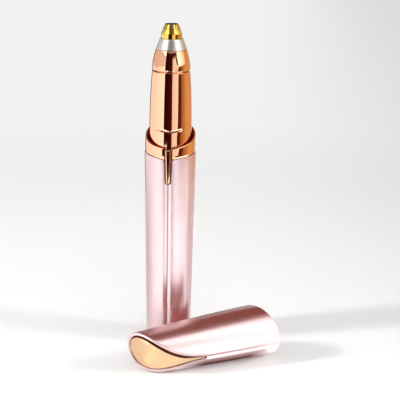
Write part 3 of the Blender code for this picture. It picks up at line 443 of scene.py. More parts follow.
def roundCorners(corners, steps=5):
    # the points of a closed outline; a corner is (across, height), with a radius if it is rounded
    points = []
    for i, (across, height, *radius) in enumerate(corners):
        here = Vector((across, height))
        if not radius:
            points.append(here)
            continue
        before = (Vector(corners[i - 1][:2]) - here).normalized()
        after = (Vector(corners[(i + 1) % len(corners)][:2]) - here).normalized()
        half = before.angle(after) / 2
        centre = here + (before + after).normalized() * radius[0] / math.sin(half)
        start = here + before * radius[0] / math.tan(half) - centre
        end = here + after * radius[0] / math.tan(half) - centre
        swing = start.angle(end)
        for share in between(0, 1, steps):
            mixed = start * math.sin((1 - share) * swing) + end * math.sin(share * swing)
            points.append(centre + mixed / math.sin(swing))
    return points


def piece(name, columns, faces):
    # an object from columns of points: merges the points that meet and turns the faces outward
    mesh = bpy.data.meshes.new(name)
    mesh.from_pydata([point for column in columns for point in column], [], faces)
    bm = bmesh.new()
    bm.from_mesh(mesh)
    bmesh.ops.remove_doubles(bm, verts=bm.verts, dist=meet)
    bmesh.ops.dissolve_degenerate(bm, edges=bm.edges, dist=meet)
    bmesh.ops.recalc_face_normals(bm, faces=bm.faces)
    if bm.calc_volume(signed=True) < 0:
        bmesh.ops.reverse_faces(bm, faces=bm.faces)
    bm.to_mesh(mesh)
    bm.free()
    return linked(name, mesh)


def skin(name, columns, closed=True):
    # a surface through columns of points that go round; if closed, each column closes on itself too
    count = len(columns[0])
    faces = []
    for c in range(len(columns)):
        here = c * count
        there = (c + 1) % len(columns) * count
        for i in range(count if closed else count - 1):
            j = (i + 1) % count
            faces.append((here + i, there + i, there + j, here + j))
    return piece(name, columns, faces)


def capped(name, rings):
    # a solid between a first and a last ring, each closed by one face
    count = len(rings[0])
    total = count * len(rings)
    faces = [tuple(range(count)), tuple(range(total - 1, total - count - 1, -1))]
    for here in range(0, total - count, count):
        for i in range(count):
            j = (i + 1) % count
            faces.append((here + i, here + j, here + count + j, here + count + i))
    return piece(name, rings, faces)


def spin(name, cornersAt, angles, steps=5):
    # turns an outline round the axis; its corners may differ from one direction to the next
    columns = []
    for angle in angles:
        side = facing(angle)
        columns.append([side * p.x + up * p.y for p in roundCorners(cornersAt(angle), steps)])
    return skin(name, columns)


def carve(body, cutters, operation="DIFFERENCE"):
    # cuts the cutters out of a piece, or joins them to it, and deletes them
    for cutter in cutters:
        step = body.modifiers.new(cutter.name, "BOOLEAN")
        step.object = cutter
        step.operation = operation
        step.solver = "EXACT"
    bpy.context.view_layer.update()
    seen = body.evaluated_get(bpy.context.evaluated_depsgraph_get())
    mesh = bpy.data.meshes.new_from_object(seen)
    body.modifiers.clear()
    body.data = mesh
    for cutter in cutters:
        bpy.data.objects.remove(cutter)


def dress(body, material, rider, node, sharp, shade=None, shaded=None):
    # finish and body of a piece that stands for a CAD node, whose own part is hidden; the faces that
    # shaded(centre) picks, or that a cutter has marked, get a second finish of painted shade
    mesh = body.data
    mesh.shade_smooth()
    mesh.set_sharp_from_angle(angle=math.radians(sharp))
    marks = [shaded(face.center) if shaded else face.material_index == 1 for face in mesh.polygons]
    mesh.materials.clear()
    mesh.materials.append(finishes[material])
    if shade:
        mesh.materials.append(finishes[shade])
    for face, mark in zip(mesh.polygons, marks):
        face.material_index = 1 if shade and mark else 0
    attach(body, rider)
    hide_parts(node)


# The camera, at the photograph's angle
def makeCamera():
    turn, pitch, roll = (math.radians(camera[key]) for key in ("turn", "pitch", "roll"))
    ahead = facing(turn) * -math.cos(pitch) - up * math.sin(pitch)
    level = ahead.cross(up).normalized()
    right = level * math.cos(roll) + level.cross(ahead) * math.sin(roll)
    data = bpy.data.cameras.new("camera")
    data.lens = camera["lens"]
    data.sensor_width = camera["sensor"]
    data.clip_start = camera["nearest"]
    made = linked("camera", data)
    turned = Matrix((right, right.cross(ahead), -ahead)).transposed().to_4x4()
    made.matrix_world = Matrix.Translation(Vector(camera["place"]) * mm) @ turned
    bpy.context.scene.camera = made


def towards(degrees, height, distance):
    # a place round the trimmer: degrees from the camera's side to the right, height in degrees
    flat = facing(math.radians(degrees + camera["turn"]))
    rise = math.radians(height)
    return (flat * math.cos(rise) + up * math.sin(rise)) * distance


def emptied(block, shader):
    # a wire of a material's or world's nodes, without the shader they come with
    block.use_nodes = True
    block.node_tree.nodes.remove(block.node_tree.nodes[shader])
    return Wire(block.node_tree)


def rays(wire, *kinds):
    # 1 for rays of these kinds
    first, *others = (wire.node("LightPath", output="Is %s Ray" % kind) for kind in kinds)
    return sum(others, first).clear()


def makeFloor():
    columns = []
    for angle in fullTurn(studio["floorSides"]):
        shares = between(0, 1, studio["floorRings"])
        columns.append([facing(angle) * studio["floorRadius"] * share**2 for share in shares])
    floor = skin("floor", columns, closed=False)
    paper = bpy.data.materials.new("paper")
    wire = emptied(paper, "Principled BSDF")
    here = wire.node("TexCoord", output="Object")
    away = wire.node("VectorMath", {"operation": "LENGTH"}, {0: here}, "Value")
    fade = away.smooth(*studio["fade"])
    side = here.part("X").smooth(*studio["sideRun"]) * here.part("Y").smooth(*studio["sideDepth"])
    tone = fade.tint(studio["floorNear"], studio["floorFar"])
    tone = (side * studio["sideShade"]).tint(tone, (0, 0, 0))
    own = fade * (1 - studio["ownLight"]) + studio["ownLight"]
    diffuse = wire.node("BsdfDiffuse", {}, {"Color": tone})
    glow = wire.node("Emission", {}, {"Color": tone, "Strength": 1.0})
    seen = rays(wire, "Camera", "Glossy", "Transmission") * own
    wire.node("MixShader", {}, {0: seen, 1: diffuse, 2: glow}).show("Material Output")
    floor.data.materials.append(paper)


def makeWorld():
    world = bpy.data.worlds.new("studio")
    bpy.context.scene.world = world
    wire = emptied(world, "Background")
    ahead = wire.node("TexCoord", output="Generated")
    back = ahead.part("Y")
    low = back.smooth(*studio["behind"]).tint(studio["room"], studio["backdrop"])
    high = ahead.part("Z").smooth(*studio["loftHeight"]) * back.smooth(*studio["loftDepth"])
    mirrored = high.tint(low, studio["loft"])
    plain = wire.node("Background", {}, {"Color": (1, 1, 1), "Strength": studio["sky"]})
    shiny = wire.node("Background", {}, {"Color": mirrored, "Strength": 1.0})
    wall = wire.node("Background", {}, {"Color": studio["wall"], "Strength": 1.0})
    mixed = wire.node("MixShader", {}, {0: rays(wire, "Glossy"), 1: plain, 2: shiny})
    seen = rays(wire, "Camera", "Transmission")
    wire.node("MixShader", {}, {0: seen, 1: mixed, 2: wall}).show("World Output")


def makeLamps():
    for name, degrees, height, distance, size, watts in studio["lamps"]:
        data = bpy.data.lights.new(name, "AREA")
        data.shape = "DISK"
        data.size = size
        data.energy = watts
        lamp = linked(name, data)
        lamp.location = towards(degrees, height, distance)
        lamp.rotation_euler = (-lamp.location).to_track_quat("-Z", "Y").to_euler()
        lamp.visible_glossy = False  # the cards stand for them in the mirrored room


def makeCard(name, rows):
    # a card that only the metal mirrors, from rows of (place, tone); it neither shades nor lights
    count = len(rows[0])
    corners = [k for k in range(count, count * len(rows)) if k % count]
    mesh = bpy.data.meshes.new(name)
    mesh.from_pydata([spot for row in rows for spot, tone in row], [],
                     [(k - 1, k, k - count, k - count - 1) for k in corners])
    tones = [part for row in rows for spot, tone in row for part in (*tone, 1)]
    mesh.color_attributes.new("tone", "FLOAT_COLOR", "POINT").data.foreach_set("color", tones)
    mesh.materials.append(cardPaper)
    card = linked(name, mesh)
    for ray in ("camera", "diffuse", "shadow", "transmission"):
        setattr(card, "visible_" + ray, False)


def makeCards():
    for name, first, last, lines in studio["cards"]:
        rows = []
        for distance, start, end, *heights in lines:
            left, right = (heights[0], heights[-1]) if heights else (studio["cardLift"],) * 2
            row = []
            for share in between(0, 1, studio["cardSteps"]):
                spot = towards(start + (end - start) * share, 0, distance)
                tone = Vector(first).lerp(Vector(last), share)
                row.append((spot + up * (left + (right - left) * share), tone))
            rows.append(row)
        makeCard(name, rows)


cardPaper = bpy.data.materials.new("cardPaper")
cardWire = emptied(cardPaper, "Principled BSDF")
cardTone = cardWire.node("Attribute", {"attribute_name": "tone"}, {}, "Color")
cardTone.node("Emission", {}, {"Color": cardTone, "Strength": 1.0}).show("Material Output")

makeCamera()
makeFloor()
makeWorld()
makeLamps()
makeCards()
bpy.context.scene.view_settings.view_transform = "Standard"
print("camera and studio set")


# Handle sleeve: a tapering satin tube with a V groove down its front
sleeve = {
    "sides": 150,
    "rows": 46,
    "boreRows": 9,
    "baseRadius": 7.8 * mm,
    "flare": 1.2 * mm,
    "swellShare": 0.9,
    "baseRound": 0.7 * mm,
    "lipRound": 0.14 * mm,
    "sideStart": 1.12 * mm,  # its side's rows run from this height
    "sideEnd": 0.28 * mm,  # to this much under the seam
    "wall": 1.2 * mm,
    "floor": 1.6 * mm,
    "seamRise": 1.5 * mm,
    "grooveWidth": 2.8 * mm,
    "grooveDepth": 0.55 * mm,
    "grooveColumns": 42,
    "grooveReachShare": 1.35,
    "shoulderSoftShare": 0.055,
    "bottomSoftShare": 0.06,
    "shadeHalf": 0.24 * mm,  # half the width of the painted shade line along the groove's bottom
}
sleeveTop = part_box("handle_sleeve")[1].z - sleeve["seamRise"]  # its seam at the very front
topRadius = sleeve["baseRadius"] + sleeve["flare"]
grooveFloor = (sleeve["baseRadius"] - sleeve["grooveDepth"]) * 0.98  # just under the groove all the way
fitGap = 0.3 * mm
fineGap = 0.2 * mm


def sleeveRadius(height):
    share = min(max(height / sleeveTop, 0), 1)
    return sleeve["baseRadius"] + sleeve["flare"] * share ** sleeve["swellShare"]


def seamHeight(across):
    return sleeveTop + sleeve["seamRise"] * abs(across) / topRadius


def grooveDepth(across):
    # a V whose shoulders and bottom are slightly rounded
    share = across / (sleeve["grooveWidth"] / 2)
    inside = 1 - math.hypot(share, sleeve["bottomSoftShare"])
    return (inside + math.hypot(inside, sleeve["shoulderSoftShare"])) / 2 * sleeve["grooveDepth"]


def sleeveShaded(spot):
    return abs(spot.x) < sleeve["shadeHalf"] and spot.y < -grooveFloor and spot.z > fitGap


def makeSleeve():
    reach = math.asin(sleeve["grooveWidth"] / 2 / topRadius) * sleeve["grooveReachShare"]
    rest = sleeve["sides"] - sleeve["grooveColumns"]
    angles = between(-reach, reach, sleeve["grooveColumns"])
    angles += between(reach, 2 * math.pi - reach, rest)[1:-1]
    wall, floor, lip = sleeve["wall"], sleeve["floor"], sleeve["lipRound"]
    bore = topRadius - wall

    def cornersAt(angle):
        across = math.sin(angle) * topRadius
        cut = grooveDepth(across) if math.cos(angle) > 0 else 0
        seam = seamHeight(across)
        side = between(sleeve["sideStart"], seam - sleeve["sideEnd"], sleeve["rows"] - 1)[1:]
        inner = between(floor * 2, sleeveTop, sleeve["boreRows"])[-2:0:-1]
        return [
            (0, 0), (sleeveRadius(0) - cut, 0, sleeve["baseRound"]),
            *((sleeveRadius(z) - cut, z) for z in side),
            (topRadius - cut, seam, lip), (bore, seamHeight(math.sin(angle) * bore), lip),
            *((sleeveRadius(z) - wall, z) for z in inner),
            (sleeveRadius(floor) - wall, floor, sleeve["baseRound"] / 2), (0, floor),
        ]

    body = spin("sleeve", cornersAt, angles)
    carve(body, [trackCutter("sleeveTrack", barBack + fitGap, sleeveRadius), stemCutter("sleeveStem")])
    dress(body, "pinkSatin", "root", "handle_sleeve", 24, "pinkShade", sleeveShaded)


# Slide button: a bright bar with a bevelled plateau and a round lower end, and its forked stem
bar = {
    "topWidth": 2.5 * mm,
    "endWidth": 1.8 * mm,
    "thickness": 0.8 * mm,
    "travel": 3.0 * mm,
    "clear": 2.0 * mm,  # how far its slot's cutters stand out
    "flare": 0.12 * mm,  # round the edges of the slot it runs in
    "profile": (  # (inset from the bar's edge, depth under its front), in mm
        (0.0, 0.8), (0.0, 0.40), (0.05, 0.32), (0.15, 0.265), (0.30, 0.225),
        (0.33, 0.205), (0.58, 0.035), (0.63, 0.008), (0.67, 0.0),
    ),
    "flank": 0.215 * mm,  # deeper than this its sides get painted shade
    "endSteps": 28,
    "sideSteps": 14,
    "stemWidth": 1.4 * mm,
    "prong": 0.6 * mm,
    "prongRound": 0.15 * mm,
    "webRound": 0.1 * mm,
    "leverHeight": 0.9 * mm,
}
barLow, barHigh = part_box("slide_button")
barFront, barEnd, barTop = barLow.y, barLow.z, barHigh.z
barBack = barFront + bar["thickness"]
slotTop = barTop + bar["travel"] + bar["clear"]
leverLow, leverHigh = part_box("switch_lever")
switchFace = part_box("switch_case")[0].y
stemMiddle = (leverLow.z + leverHigh.z) / 2
stemHalf = bar["leverHeight"] / 2 + fitGap + bar["prong"]


def barOutline(inset, top=barTop):
    # the bar from the front, drawn in by an inset: (x, height) points from the top right, down and up
    halfTop = bar["topWidth"] / 2 - inset
    halfEnd = bar["endWidth"] / 2 - inset
    middle = barEnd + bar["endWidth"] / 2
    steps = bar["sideSteps"]
    side = list(zip(between(halfTop, halfEnd, steps), between(top - inset, middle, steps)))[:-1]
    end = []
    for angle in between(0, math.pi, bar["endSteps"]):
        end.append((halfEnd * math.cos(angle), middle - halfEnd * math.sin(angle)))
    return side + end + [(-x, z) for x, z in reversed(side)]


def trackCutter(name, back, radiusAt):
    # the slot the bar runs in, flared where it meets the outside
    flare = bar["flare"]
    rings = [[Vector((x, back, z)) for x, z in barOutline(-fitGap, slotTop)]]
    for depth, grow in ((flare, 0), (0, flare), (-bar["clear"], flare * 3)):
        rings.append([Vector((x, depth - radiusAt(z), z)) for x, z in barOutline(-fitGap - grow, slotTop)])
    return capped(name, rings)


def stemCutter(name):
    half = bar["stemWidth"] / 2 + fitGap
    low = stemMiddle - stemHalf - fitGap
    outline = [(-half, low), (half, low), (half, slotTop), (-half, slotTop)]
    ends = (-2 * topRadius, switchFace - fitGap)
    return capped(name, [[Vector((x, y, z)) for x, z in outline] for y in ends])


def makeBar():
    rings = []
    for inset, depth in bar["profile"]:
        rings.append([Vector((x, barFront + depth * mm, z)) for x, z in barOutline(inset * mm)])
    body = capped("slideBar", rings)
    half = bar["stemWidth"] / 2
    low, high = stemMiddle - stemHalf, stemMiddle + stemHalf
    lowInner, highInner = low + bar["prong"], high - bar["prong"]
    tip, web = switchFace - fitGap, leverLow.y - fitGap
    root = barBack - bar["thickness"] / 3
    soft, bend = bar["prongRound"], bar["webRound"]
    fork = [(root, low), (tip, low, soft), (tip, lowInner, soft), (web, lowInner, bend),
            (web, highInner, bend), (tip, highInner, soft), (tip, high, soft), (root, high)]
    outline = roundCorners(fork, 3)
    stem = capped("stem", [[Vector((x, p.x, p.y)) for p in outline] for x in (-half, half)])
    carve(body, [stem], "UNION")
    dress(body, "roseGold", "button", "slide_button", 9, "roseRecessShade",
          lambda spot: spot.y > barFront + bar["flank"])


# Collar: a bright band with a slanted rim, the ledge that carries the neck, and its spigot
band = {
    "sides": 160,
    "step": 0.25 * mm,
    "wall": 0.6 * mm,
    "rimTilt": 22.5,  # degrees
    "rimRound": 0.26 * mm,
    "edgeRound": 0.12 * mm,
    "ledge": 0.8 * mm,
    "spigotDepth": 7.0 * mm,
    "spigotWall": 0.8 * mm,
    "bulge": 0.05 * mm,
    "bulgeRows": 6,
    "seamGap": 0.1 * mm,
}
collarRadius = topRadius - band["step"]
collarBore = collarRadius - band["wall"]
rimSlope = math.tan(math.radians(band["rimTilt"]))
ledgeTop = sleeveTop + sleeve["seamRise"] + fitGap + band["ledge"]


def collarShaded(spot):
    return spot.xy.length < collarBore + band["rimRound"] / 4 and spot.z > ledgeTop - fineGap


def makeCollar():
    foot = sleeveTop - band["spigotDepth"]
    spigot = sleeveRadius(foot) - sleeve["wall"] - fineGap
    spigotBore = spigot - band["spigotWall"]
    soft, edge = band["rimRound"], band["edgeRound"]

    def cornersAt(angle):
        def rim(radius):
            return barTop + rimSlope * (collarRadius - radius * math.cos(angle))

        def seam(radius):
            return seamHeight(radius * math.sin(angle)) + band["seamGap"]

        low, high = seam(collarRadius), rim(collarRadius)
        def side(share):
            swell = band["bulge"] * math.sin(math.pi * share)
            return (collarRadius + swell, low + (high - low) * share)

        return [
            (spigot, foot, edge), (spigot, seam(spigot)), (collarRadius, low, edge),
            *map(side, between(0, 1, band["bulgeRows"])[1:-1]),
            (collarRadius, high, soft), (collarBore, rim(collarBore), soft), (collarBore, ledgeTop, edge),
            (spigotBore, ledgeTop), (spigotBore, foot, edge),
        ]

    body = spin("collarBand", cornersAt, fullTurn(band["sides"]), 7)
    track = trackCutter("collarTrack", fitGap - collarBore, lambda height: collarRadius)
    carve(body, [track, stemCutter("collarStem")])
    dress(body, "roseGold", "chassis", "collar", 30, "roseShade", collarShaded)


# Neck: the bright cone, with the pad and the curved crease at its foot, and the head's spigot
neck = {
    "sides": 176,
    "gap": 0.73 * mm,
    "seam": 0.4 * mm,  # the dark one under the head
    "topRadius": 6.62 * mm,
    "taperShare": 3.2,
    "wall": 1.0 * mm,
    "edgeRound": 0.16 * mm,
    "start": 0.4 * mm,  # its rows keep this far from the foot and the top
    "creaseRise": 5.2 * mm,  # over the rim, at the front
    "creaseLift": 1.25 * mm,
    "creaseWidth": 0.52 * mm,
    "creaseDip": 0.30 * mm,
    "creaseShares": (  # (share of its width, share of its dip)
        (0.05, 0.05), (0.12, 1), (0.90, 1), (0.96, 0.05), (1, 0)),
    "creaseHalf": 40,  # degrees each side of the front
    "creaseDark": 25,  # as far as its floor gets painted shade
    "darkShares": (0.02, 0.92),  # of its width
    "padHeight": 0.16 * mm,
    "padHalf": 52,  # degrees each side of the front
    "padRows": 16,
    "upperRows": 26,
    "boreRows": 4,
    "deck": 1.2 * mm,
    "deckDrop": 0.9 * mm,
    "spigotStep": 1.3 * mm,
    "spigotWall": 1.5 * mm,
    "ringSection": 0.7 * mm,
    "ringStand": 0.25 * mm,
    "shaft": 0.5 * mm,
    "bushWall": 0.7 * mm,
}
neckBase, spigotTop = (corner.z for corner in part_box("neck_shell"))
headBase, headTop = (corner.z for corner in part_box("head_shell"))
neckTop = headBase - neck["seam"]
neckBaseRadius = collarBore - neck["gap"]


def neckRadius(height):
    share = min(max((height - neckBase) / (neckTop - neckBase), 0), 1)
    return neckBaseRadius - (neckBaseRadius - neck["topRadius"]) * share ** neck["taperShare"]


def creaseHeight(turn):
    return barTop + neck["creaseRise"] + neck["creaseLift"] * math.sin(min(abs(turn), math.pi / 2))


def neckShaded(spot):
    turn = math.atan2(spot.x, -spot.y)
    low, high = neck["darkShares"]
    outside = neckRadius(spot.z) - neck["wall"] / 2 < spot.xy.length
    ahead = abs(turn) < math.radians(neck["creaseDark"])
    return outside and ahead and low < (spot.z - creaseHeight(turn)) / neck["creaseWidth"] < high


def makeNeck():
    spigot = neck["topRadius"] - neck["spigotStep"]
    spigotBore = spigot - neck["spigotWall"]
    groove = spigot - (neck["ringSection"] - neck["ringStand"] + fitGap)
    middle = (neckTop + spigotTop) / 2
    halfGroove = neck["ringSection"] / 2 + fineGap
    deckTop = neckTop - neck["deckDrop"]
    deckFoot = deckTop - neck["deck"]
    hole = neck["shaft"] + fitGap + neck["bushWall"] + fineGap
    low, high = middle - halfGroove, middle + halfGroove

    def cornersAt(angle):
        turn = math.atan2(math.sin(angle), math.cos(angle))
        fade = math.cos(min(abs(turn) / math.radians(neck["padHalf"]), 1) * math.pi / 2) * neck["padHeight"]
        cut = max(1 - (turn / math.radians(neck["creaseHalf"])) ** 4, 0) ** 0.5 * neck["creaseDip"]
        crease = creaseHeight(turn)
        start = crease + neck["creaseWidth"]
        corners = [(neckRadius(neckBase), neckBase, neck["edgeRound"])]
        rows = between(neckBase + neck["start"], crease, neck["padRows"])
        for k, height in list(enumerate(rows))[1:]:
            pad = fade * math.sin(k / neck["padRows"] * math.pi / 2)
            corners.append((neckRadius(height) + pad, height))
        for share, dip in neck["creaseShares"]:
            height = crease + neck["creaseWidth"] * share
            corners.append((neckRadius(height) + fade * (1 - share) - cut * dip, height))
        upper = between(start, neckTop - neck["start"], neck["upperRows"] - 1)[1:]
        inner = between(deckFoot, neckBase, neck["boreRows"])
        return corners + [
            *((neckRadius(z), z) for z in upper),
            (neck["topRadius"], neckTop, neck["edgeRound"]), (spigot, neckTop), (spigot, low),
            (groove, low), (groove, high), (spigot, high), (spigot, spigotTop, neck["edgeRound"]),
            (spigotBore, spigotTop), (spigotBore, deckTop), (hole, deckTop), (hole, deckFoot),
            *((neckRadius(z) - neck["wall"], z) for z in inner),
        ]

    body = spin("neckCone", cornersAt, fullTurn(neck["sides"]))
    dress(body, "roseGold", "chassis", "neck_shell", 34, "roseRecessShade", neckShaded)


# Head: the bright shell, the satin silver ring and the slotted gold foil
shell = {
    "sides": 160,
    "belly": 0.06 * mm,
    "draw": 1.19 * mm,
    "bellyShare": 0.1,
    "bellyStart": 0.25,  # share of the belly's height where its swelling begins
    "bellyRows": 6,
    "ogiveShare": 1.45,
    "rows": 22,
    "footRound": 0.17 * mm,
    "edgeRound": 0.1 * mm,
    "lip": 0.4 * mm,
    "lipRound": 0.08 * mm,
    "ledge": 0.8 * mm,
    "ledgeWidth": 1.3 * mm,
}
silver = {
    "seamGap": 0.07 * mm,
    "inset": 0.04 * mm,
    "taper": 1.37 * mm,
    "lip": 0.2 * mm,
    "lipRound": 0.05 * mm,
    "edgeRound": 0.1 * mm,
    "topRound": 0.12 * mm,
    "start": 0.6 * mm,  # its side's rows keep this far from the foot and the top
    "end": 0.4 * mm,
    "rows": 6,
}
foil = {
    "taper": 1.35 * mm,
    "skirt": 1.7 * mm,
    "bend": 0.5 * mm,
    "thickness": 0.3 * mm,
    "innerRound": 0.15 * mm,
    "flange": 0.4 * mm,
    "edge": 0.34 * mm,
    "slots": 16,
    "slotWidth": 0.28 * mm,
    "slotRound": 0.126 * mm,
    "slotDepth": 2.0 * mm,
    "slotStart": 0.92 * mm,
    "rows": 14,
    "dish": 0.05 * mm,
    "brightTop": 0.1 * mm,  # deeper than these its slots and its inside get painted shade
    "brightSide": 0.03 * mm,
}
silverFoot, silverTop = (corner.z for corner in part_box("silver_ring"))
foilFoot, foilTop = (corner.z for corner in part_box("gold_foil"))
headTopRadius = neck["topRadius"] - shell["draw"]
upperBore = headTopRadius - shell["lip"]
silverBase = headTop + silver["seamGap"]
silverBaseRadius = headTopRadius - silver["inset"]
silverTopRadius = silverBaseRadius - silver["taper"]
foilHole = silverTopRadius - silver["lip"]
foilRadius = foilHole - fineGap
foilTopRadius = foilRadius - foil["taper"]
shoulder = silverTop + foil["skirt"]


def turned(name, corners, steps=5):
    return spin(name, lambda angle: corners, fullTurn(shell["sides"]), steps)


def makeHeadShell():
    widest = neck["topRadius"] + shell["belly"]
    rise = (headTop - headBase) * shell["bellyShare"]
    belly = headBase + rise
    ledgeTop = silverFoot - fineGap
    ledgeFoot = ledgeTop - shell["ledge"]
    bore = neck["topRadius"] - neck["spigotStep"] + neck["ringStand"] + fitGap
    hole = upperBore - shell["ledgeWidth"]
    corners = [(neck["topRadius"], headBase, shell["footRound"])]
    for share in between(0, 1, shell["bellyRows"])[1:-1]:
        height = headBase + rise * (shell["bellyStart"] + (1 - shell["bellyStart"]) * share)
        corners.append((neck["topRadius"] + shell["belly"] * math.sin(share * math.pi / 2), height))
    for share in between(0, 1, shell["rows"])[:-1]:
        radius = widest - (widest - headTopRadius) * share ** shell["ogiveShare"]
        corners.append((radius, belly + (headTop - belly) * share))
    corners += [
        (headTopRadius, headTop, shell["edgeRound"]), (upperBore, headTop, shell["lipRound"]),
        (upperBore, ledgeTop), (hole, ledgeTop), (hole, ledgeFoot), (bore, ledgeFoot),
        (bore, headBase, shell["edgeRound"]),
    ]
    body = turned("headShell", corners)
    dress(body, "roseGold", "head", "head_shell", 34)


def makeSilver():
    pocket = foilRadius + foil["flange"] + fineGap
    roof = foilFoot + foil["thickness"] + fineGap
    edge = silver["edgeRound"]
    corners = [(upperBore - fineGap, silverFoot, edge), (upperBore - fineGap, silverBase),
               (silverBaseRadius, silverBase, edge)]
    for height in between(silverBase + silver["start"], silverTop - silver["end"], silver["rows"])[1:-1]:
        along = (height - silverBase) / (silverTop - silverBase)
        corners.append((silverBaseRadius - silver["taper"] * along, height))
    corners += [
        (silverTopRadius, silverTop, silver["topRound"]), (foilHole, silverTop, silver["lipRound"]),
        (foilHole, roof), (pocket, roof), (pocket, silverFoot, edge),
    ]
    body = turned("silverCone", corners)
    dress(body, "silverSatin", "head", "silver_ring", 34)


def foilSide(height):
    share = min(max((height - shoulder) / (foilTop - shoulder), 0), 1)
    return foilRadius - foil["taper"] * share


def foilShaded(spot):
    return spot.z < foilTop - foil["brightTop"] and spot.xy.length < foilSide(spot.z) - foil["brightSide"]


def makeFoil():
    thick, flange, dish = foil["thickness"], foilRadius + foil["flange"], foil["dish"]
    bore = foilRadius - thick
    inside = foilTop - thick
    corners = [(0, inside), (foilSide(inside) - thick, inside, foil["innerRound"]), (bore, shoulder),
               (bore, foilFoot), (flange, foilFoot), (flange, foilFoot + thick),
               (foilRadius, foilFoot + thick), (foilRadius, shoulder, foil["bend"])]
    end = foilTop - foil["edge"] - foil["brightTop"]
    for height in between(shoulder + foil["bend"], end, foil["rows"] - 1)[1:]:
        corners.append((foilSide(height), height))
    corners += [(foilTopRadius, foilTop, foil["edge"]), (foilTopRadius / 2, foilTop - dish / 2),
                (0, foilTop - dish)]
    body = turned("foilCap", corners, 6)
    half, soft = foil["slotWidth"] / 2, foil["slotRound"]
    start, end = foil["slotStart"], 2 * foilRadius
    outline = roundCorners([(start, -half, soft), (end, -half), (end, half), (start, half, soft)], 4)
    heights = (foilTop - foil["slotDepth"], foilTop + mm)
    cutters = []
    for k in range(foil["slots"]):
        turn = Matrix.Rotation(2 * math.pi * (k + 0.5) / foil["slots"], 3, "Z")
        rings = [[turn @ Vector((*p, z)) for p in outline] for z in heights]
        cutters.append(capped("slot%02d" % (k + 1), rings))
    carve(body, cutters)
    dress(body, "goldPolished", "head", "gold_foil", 30, "foilShade", foilShaded)


makeSleeve()
makeBar()
makeCollar()
makeNeck()
print("handle, button, collar and neck made")
makeHeadShell()
makeSilver()
makeFoil()
print("head made")


# Cap, in its own frame: the mouth's centre at the origin, the crown up, its groove facing the front
cap = {
    "half": 84,  # columns on each side of the middle plane
    "rows": 30,
    "cutRows": 6,
    "curveSteps": 900,
    "stand": 0.35 * mm,
    "taper": 2.0 * mm,
    "taperShare": 1.6,
    "headroom": 9.0 * mm,
    "crownWall": 1.7 * mm,
    "wallRun": 26.0 * mm,
    "neckGap": 0.63 * mm,
    "cutRun": 26.4 * mm,
    "cutLead": 13.0 * mm,
    "leadSlope": 0.09,
    "cutDrop": 16.3 * mm,
    "endAngle": 72,
    "mouthRound": 0.24 * mm,
    "boreRound": 0.2 * mm,
    "cutRound": 0.22 * mm,
    "cutShare": 0.6,  # of the way to the middle plane, at the most
    "hollowRound": 0.6 * mm,
    "grooveWidth": 2.4 * mm,
    "grooveDepth": 0.45 * mm,
    "grooveSpread": 1.4,  # how far its cutter's sides go on outside
    "grooveSteps": 30,
    "ahead": 11.4 * mm,
    "aside": 33.4 * mm,
    "yaw": 28.4,
    "roll": 19.5,
    "restShare": 0.42,
    "footShade": (  # (distance in mm from the line it rests on, tone)
        (-1.0, (0.05, 0.01, 0.006)), (4.8, (0.06, 0.014, 0.008)), (5.8, (0.22, 0.13, 0.12)),
        (8.4, (0.60, 0.52, 0.51)), (12.0, (1.0, 1.0, 0.99)),
    ),
    "shadeRun": (-0.02, 0.12, 0.50, 0.72),  # shares of the cap's length: from nothing to full and back
    "shadeLift": 0.7 * mm,
}
inlay = {
    "rim": 1.2 * mm,
    "recess": 0.3 * mm,
    "thickness": 0.5 * mm,
    "tipWidth": 0.5 * mm,
    "stations": 90,
    "edge": 0.06 * mm,
    "edgeShare": 0.3,  # where the plate's chamfered edge bends
    "flare": 0.1 * mm,
    "litDepth": 0.04 * mm,  # the pocket's walls stay pink this far under the plate's face
    "litSide": -0.2,  # and all the way down where the x of their direction is under this
    "standOff": 1.35 * mm,  # of its upper edge, at the middle, from the rim
    "standShare": 0.6,  # how soon that is reached, from either end
    "standMost": 0.7,  # of the plate's half width
    "tipGap": 7,  # stations left free at the tip
}
mouthRadius = collarRadius + cap["stand"]
crownRadius = mouthRadius - cap["taper"]
mouthBore = neckBaseRadius + neck["padHeight"] + cap["neckGap"]
capLength = foilTop + cap["headroom"] - barTop - collarRadius * rimSlope
cutStart = capLength - cap["cutRun"]


def capRadius(height):
    return mouthRadius - cap["taper"] * (max(height, 0) / capLength) ** cap["taperShare"]


def cavityRadius(height):
    share = min(max(height / cap["wallRun"], 0), 1)
    return capRadius(height) - (mouthRadius - mouthBore) * (1 - share) - cap["crownWall"] * share


def cutCurve(inward=0.0):
    # the curved cut seen from the side: (height, frontness), moved inward by a depth, and the way inward
    start = Vector((cutStart, capRadius(cutStart)))
    end = Vector((capLength, -crownRadius))
    lead = start + cap["cutLead"] * Vector((1, -cap["leadSlope"])).normalized()
    angle = math.radians(cap["endAngle"])
    drop = end - cap["cutDrop"] * Vector((math.cos(angle), -math.sin(angle)))
    points = []
    for t in between(0, 1, cap["curveSteps"]):
        s = 1 - t
        spot = s**3 * start + 3 * s * s * t * lead + 3 * s * t * t * drop + t**3 * end
        along = (s * s * (lead - start) + 2 * s * t * (drop - lead) + t * t * (end - drop)).normalized()
        inner = Vector((along.y, -along.x))
        points.append((spot + inner * inward, inner))
    return points


def softCorner(before, corner, after):
    # a rounded corner between two points
    return [before * (1 - t) ** 2 + corner * 2 * t * (1 - t) + after * t * t for t in between(0, 1, 5)]


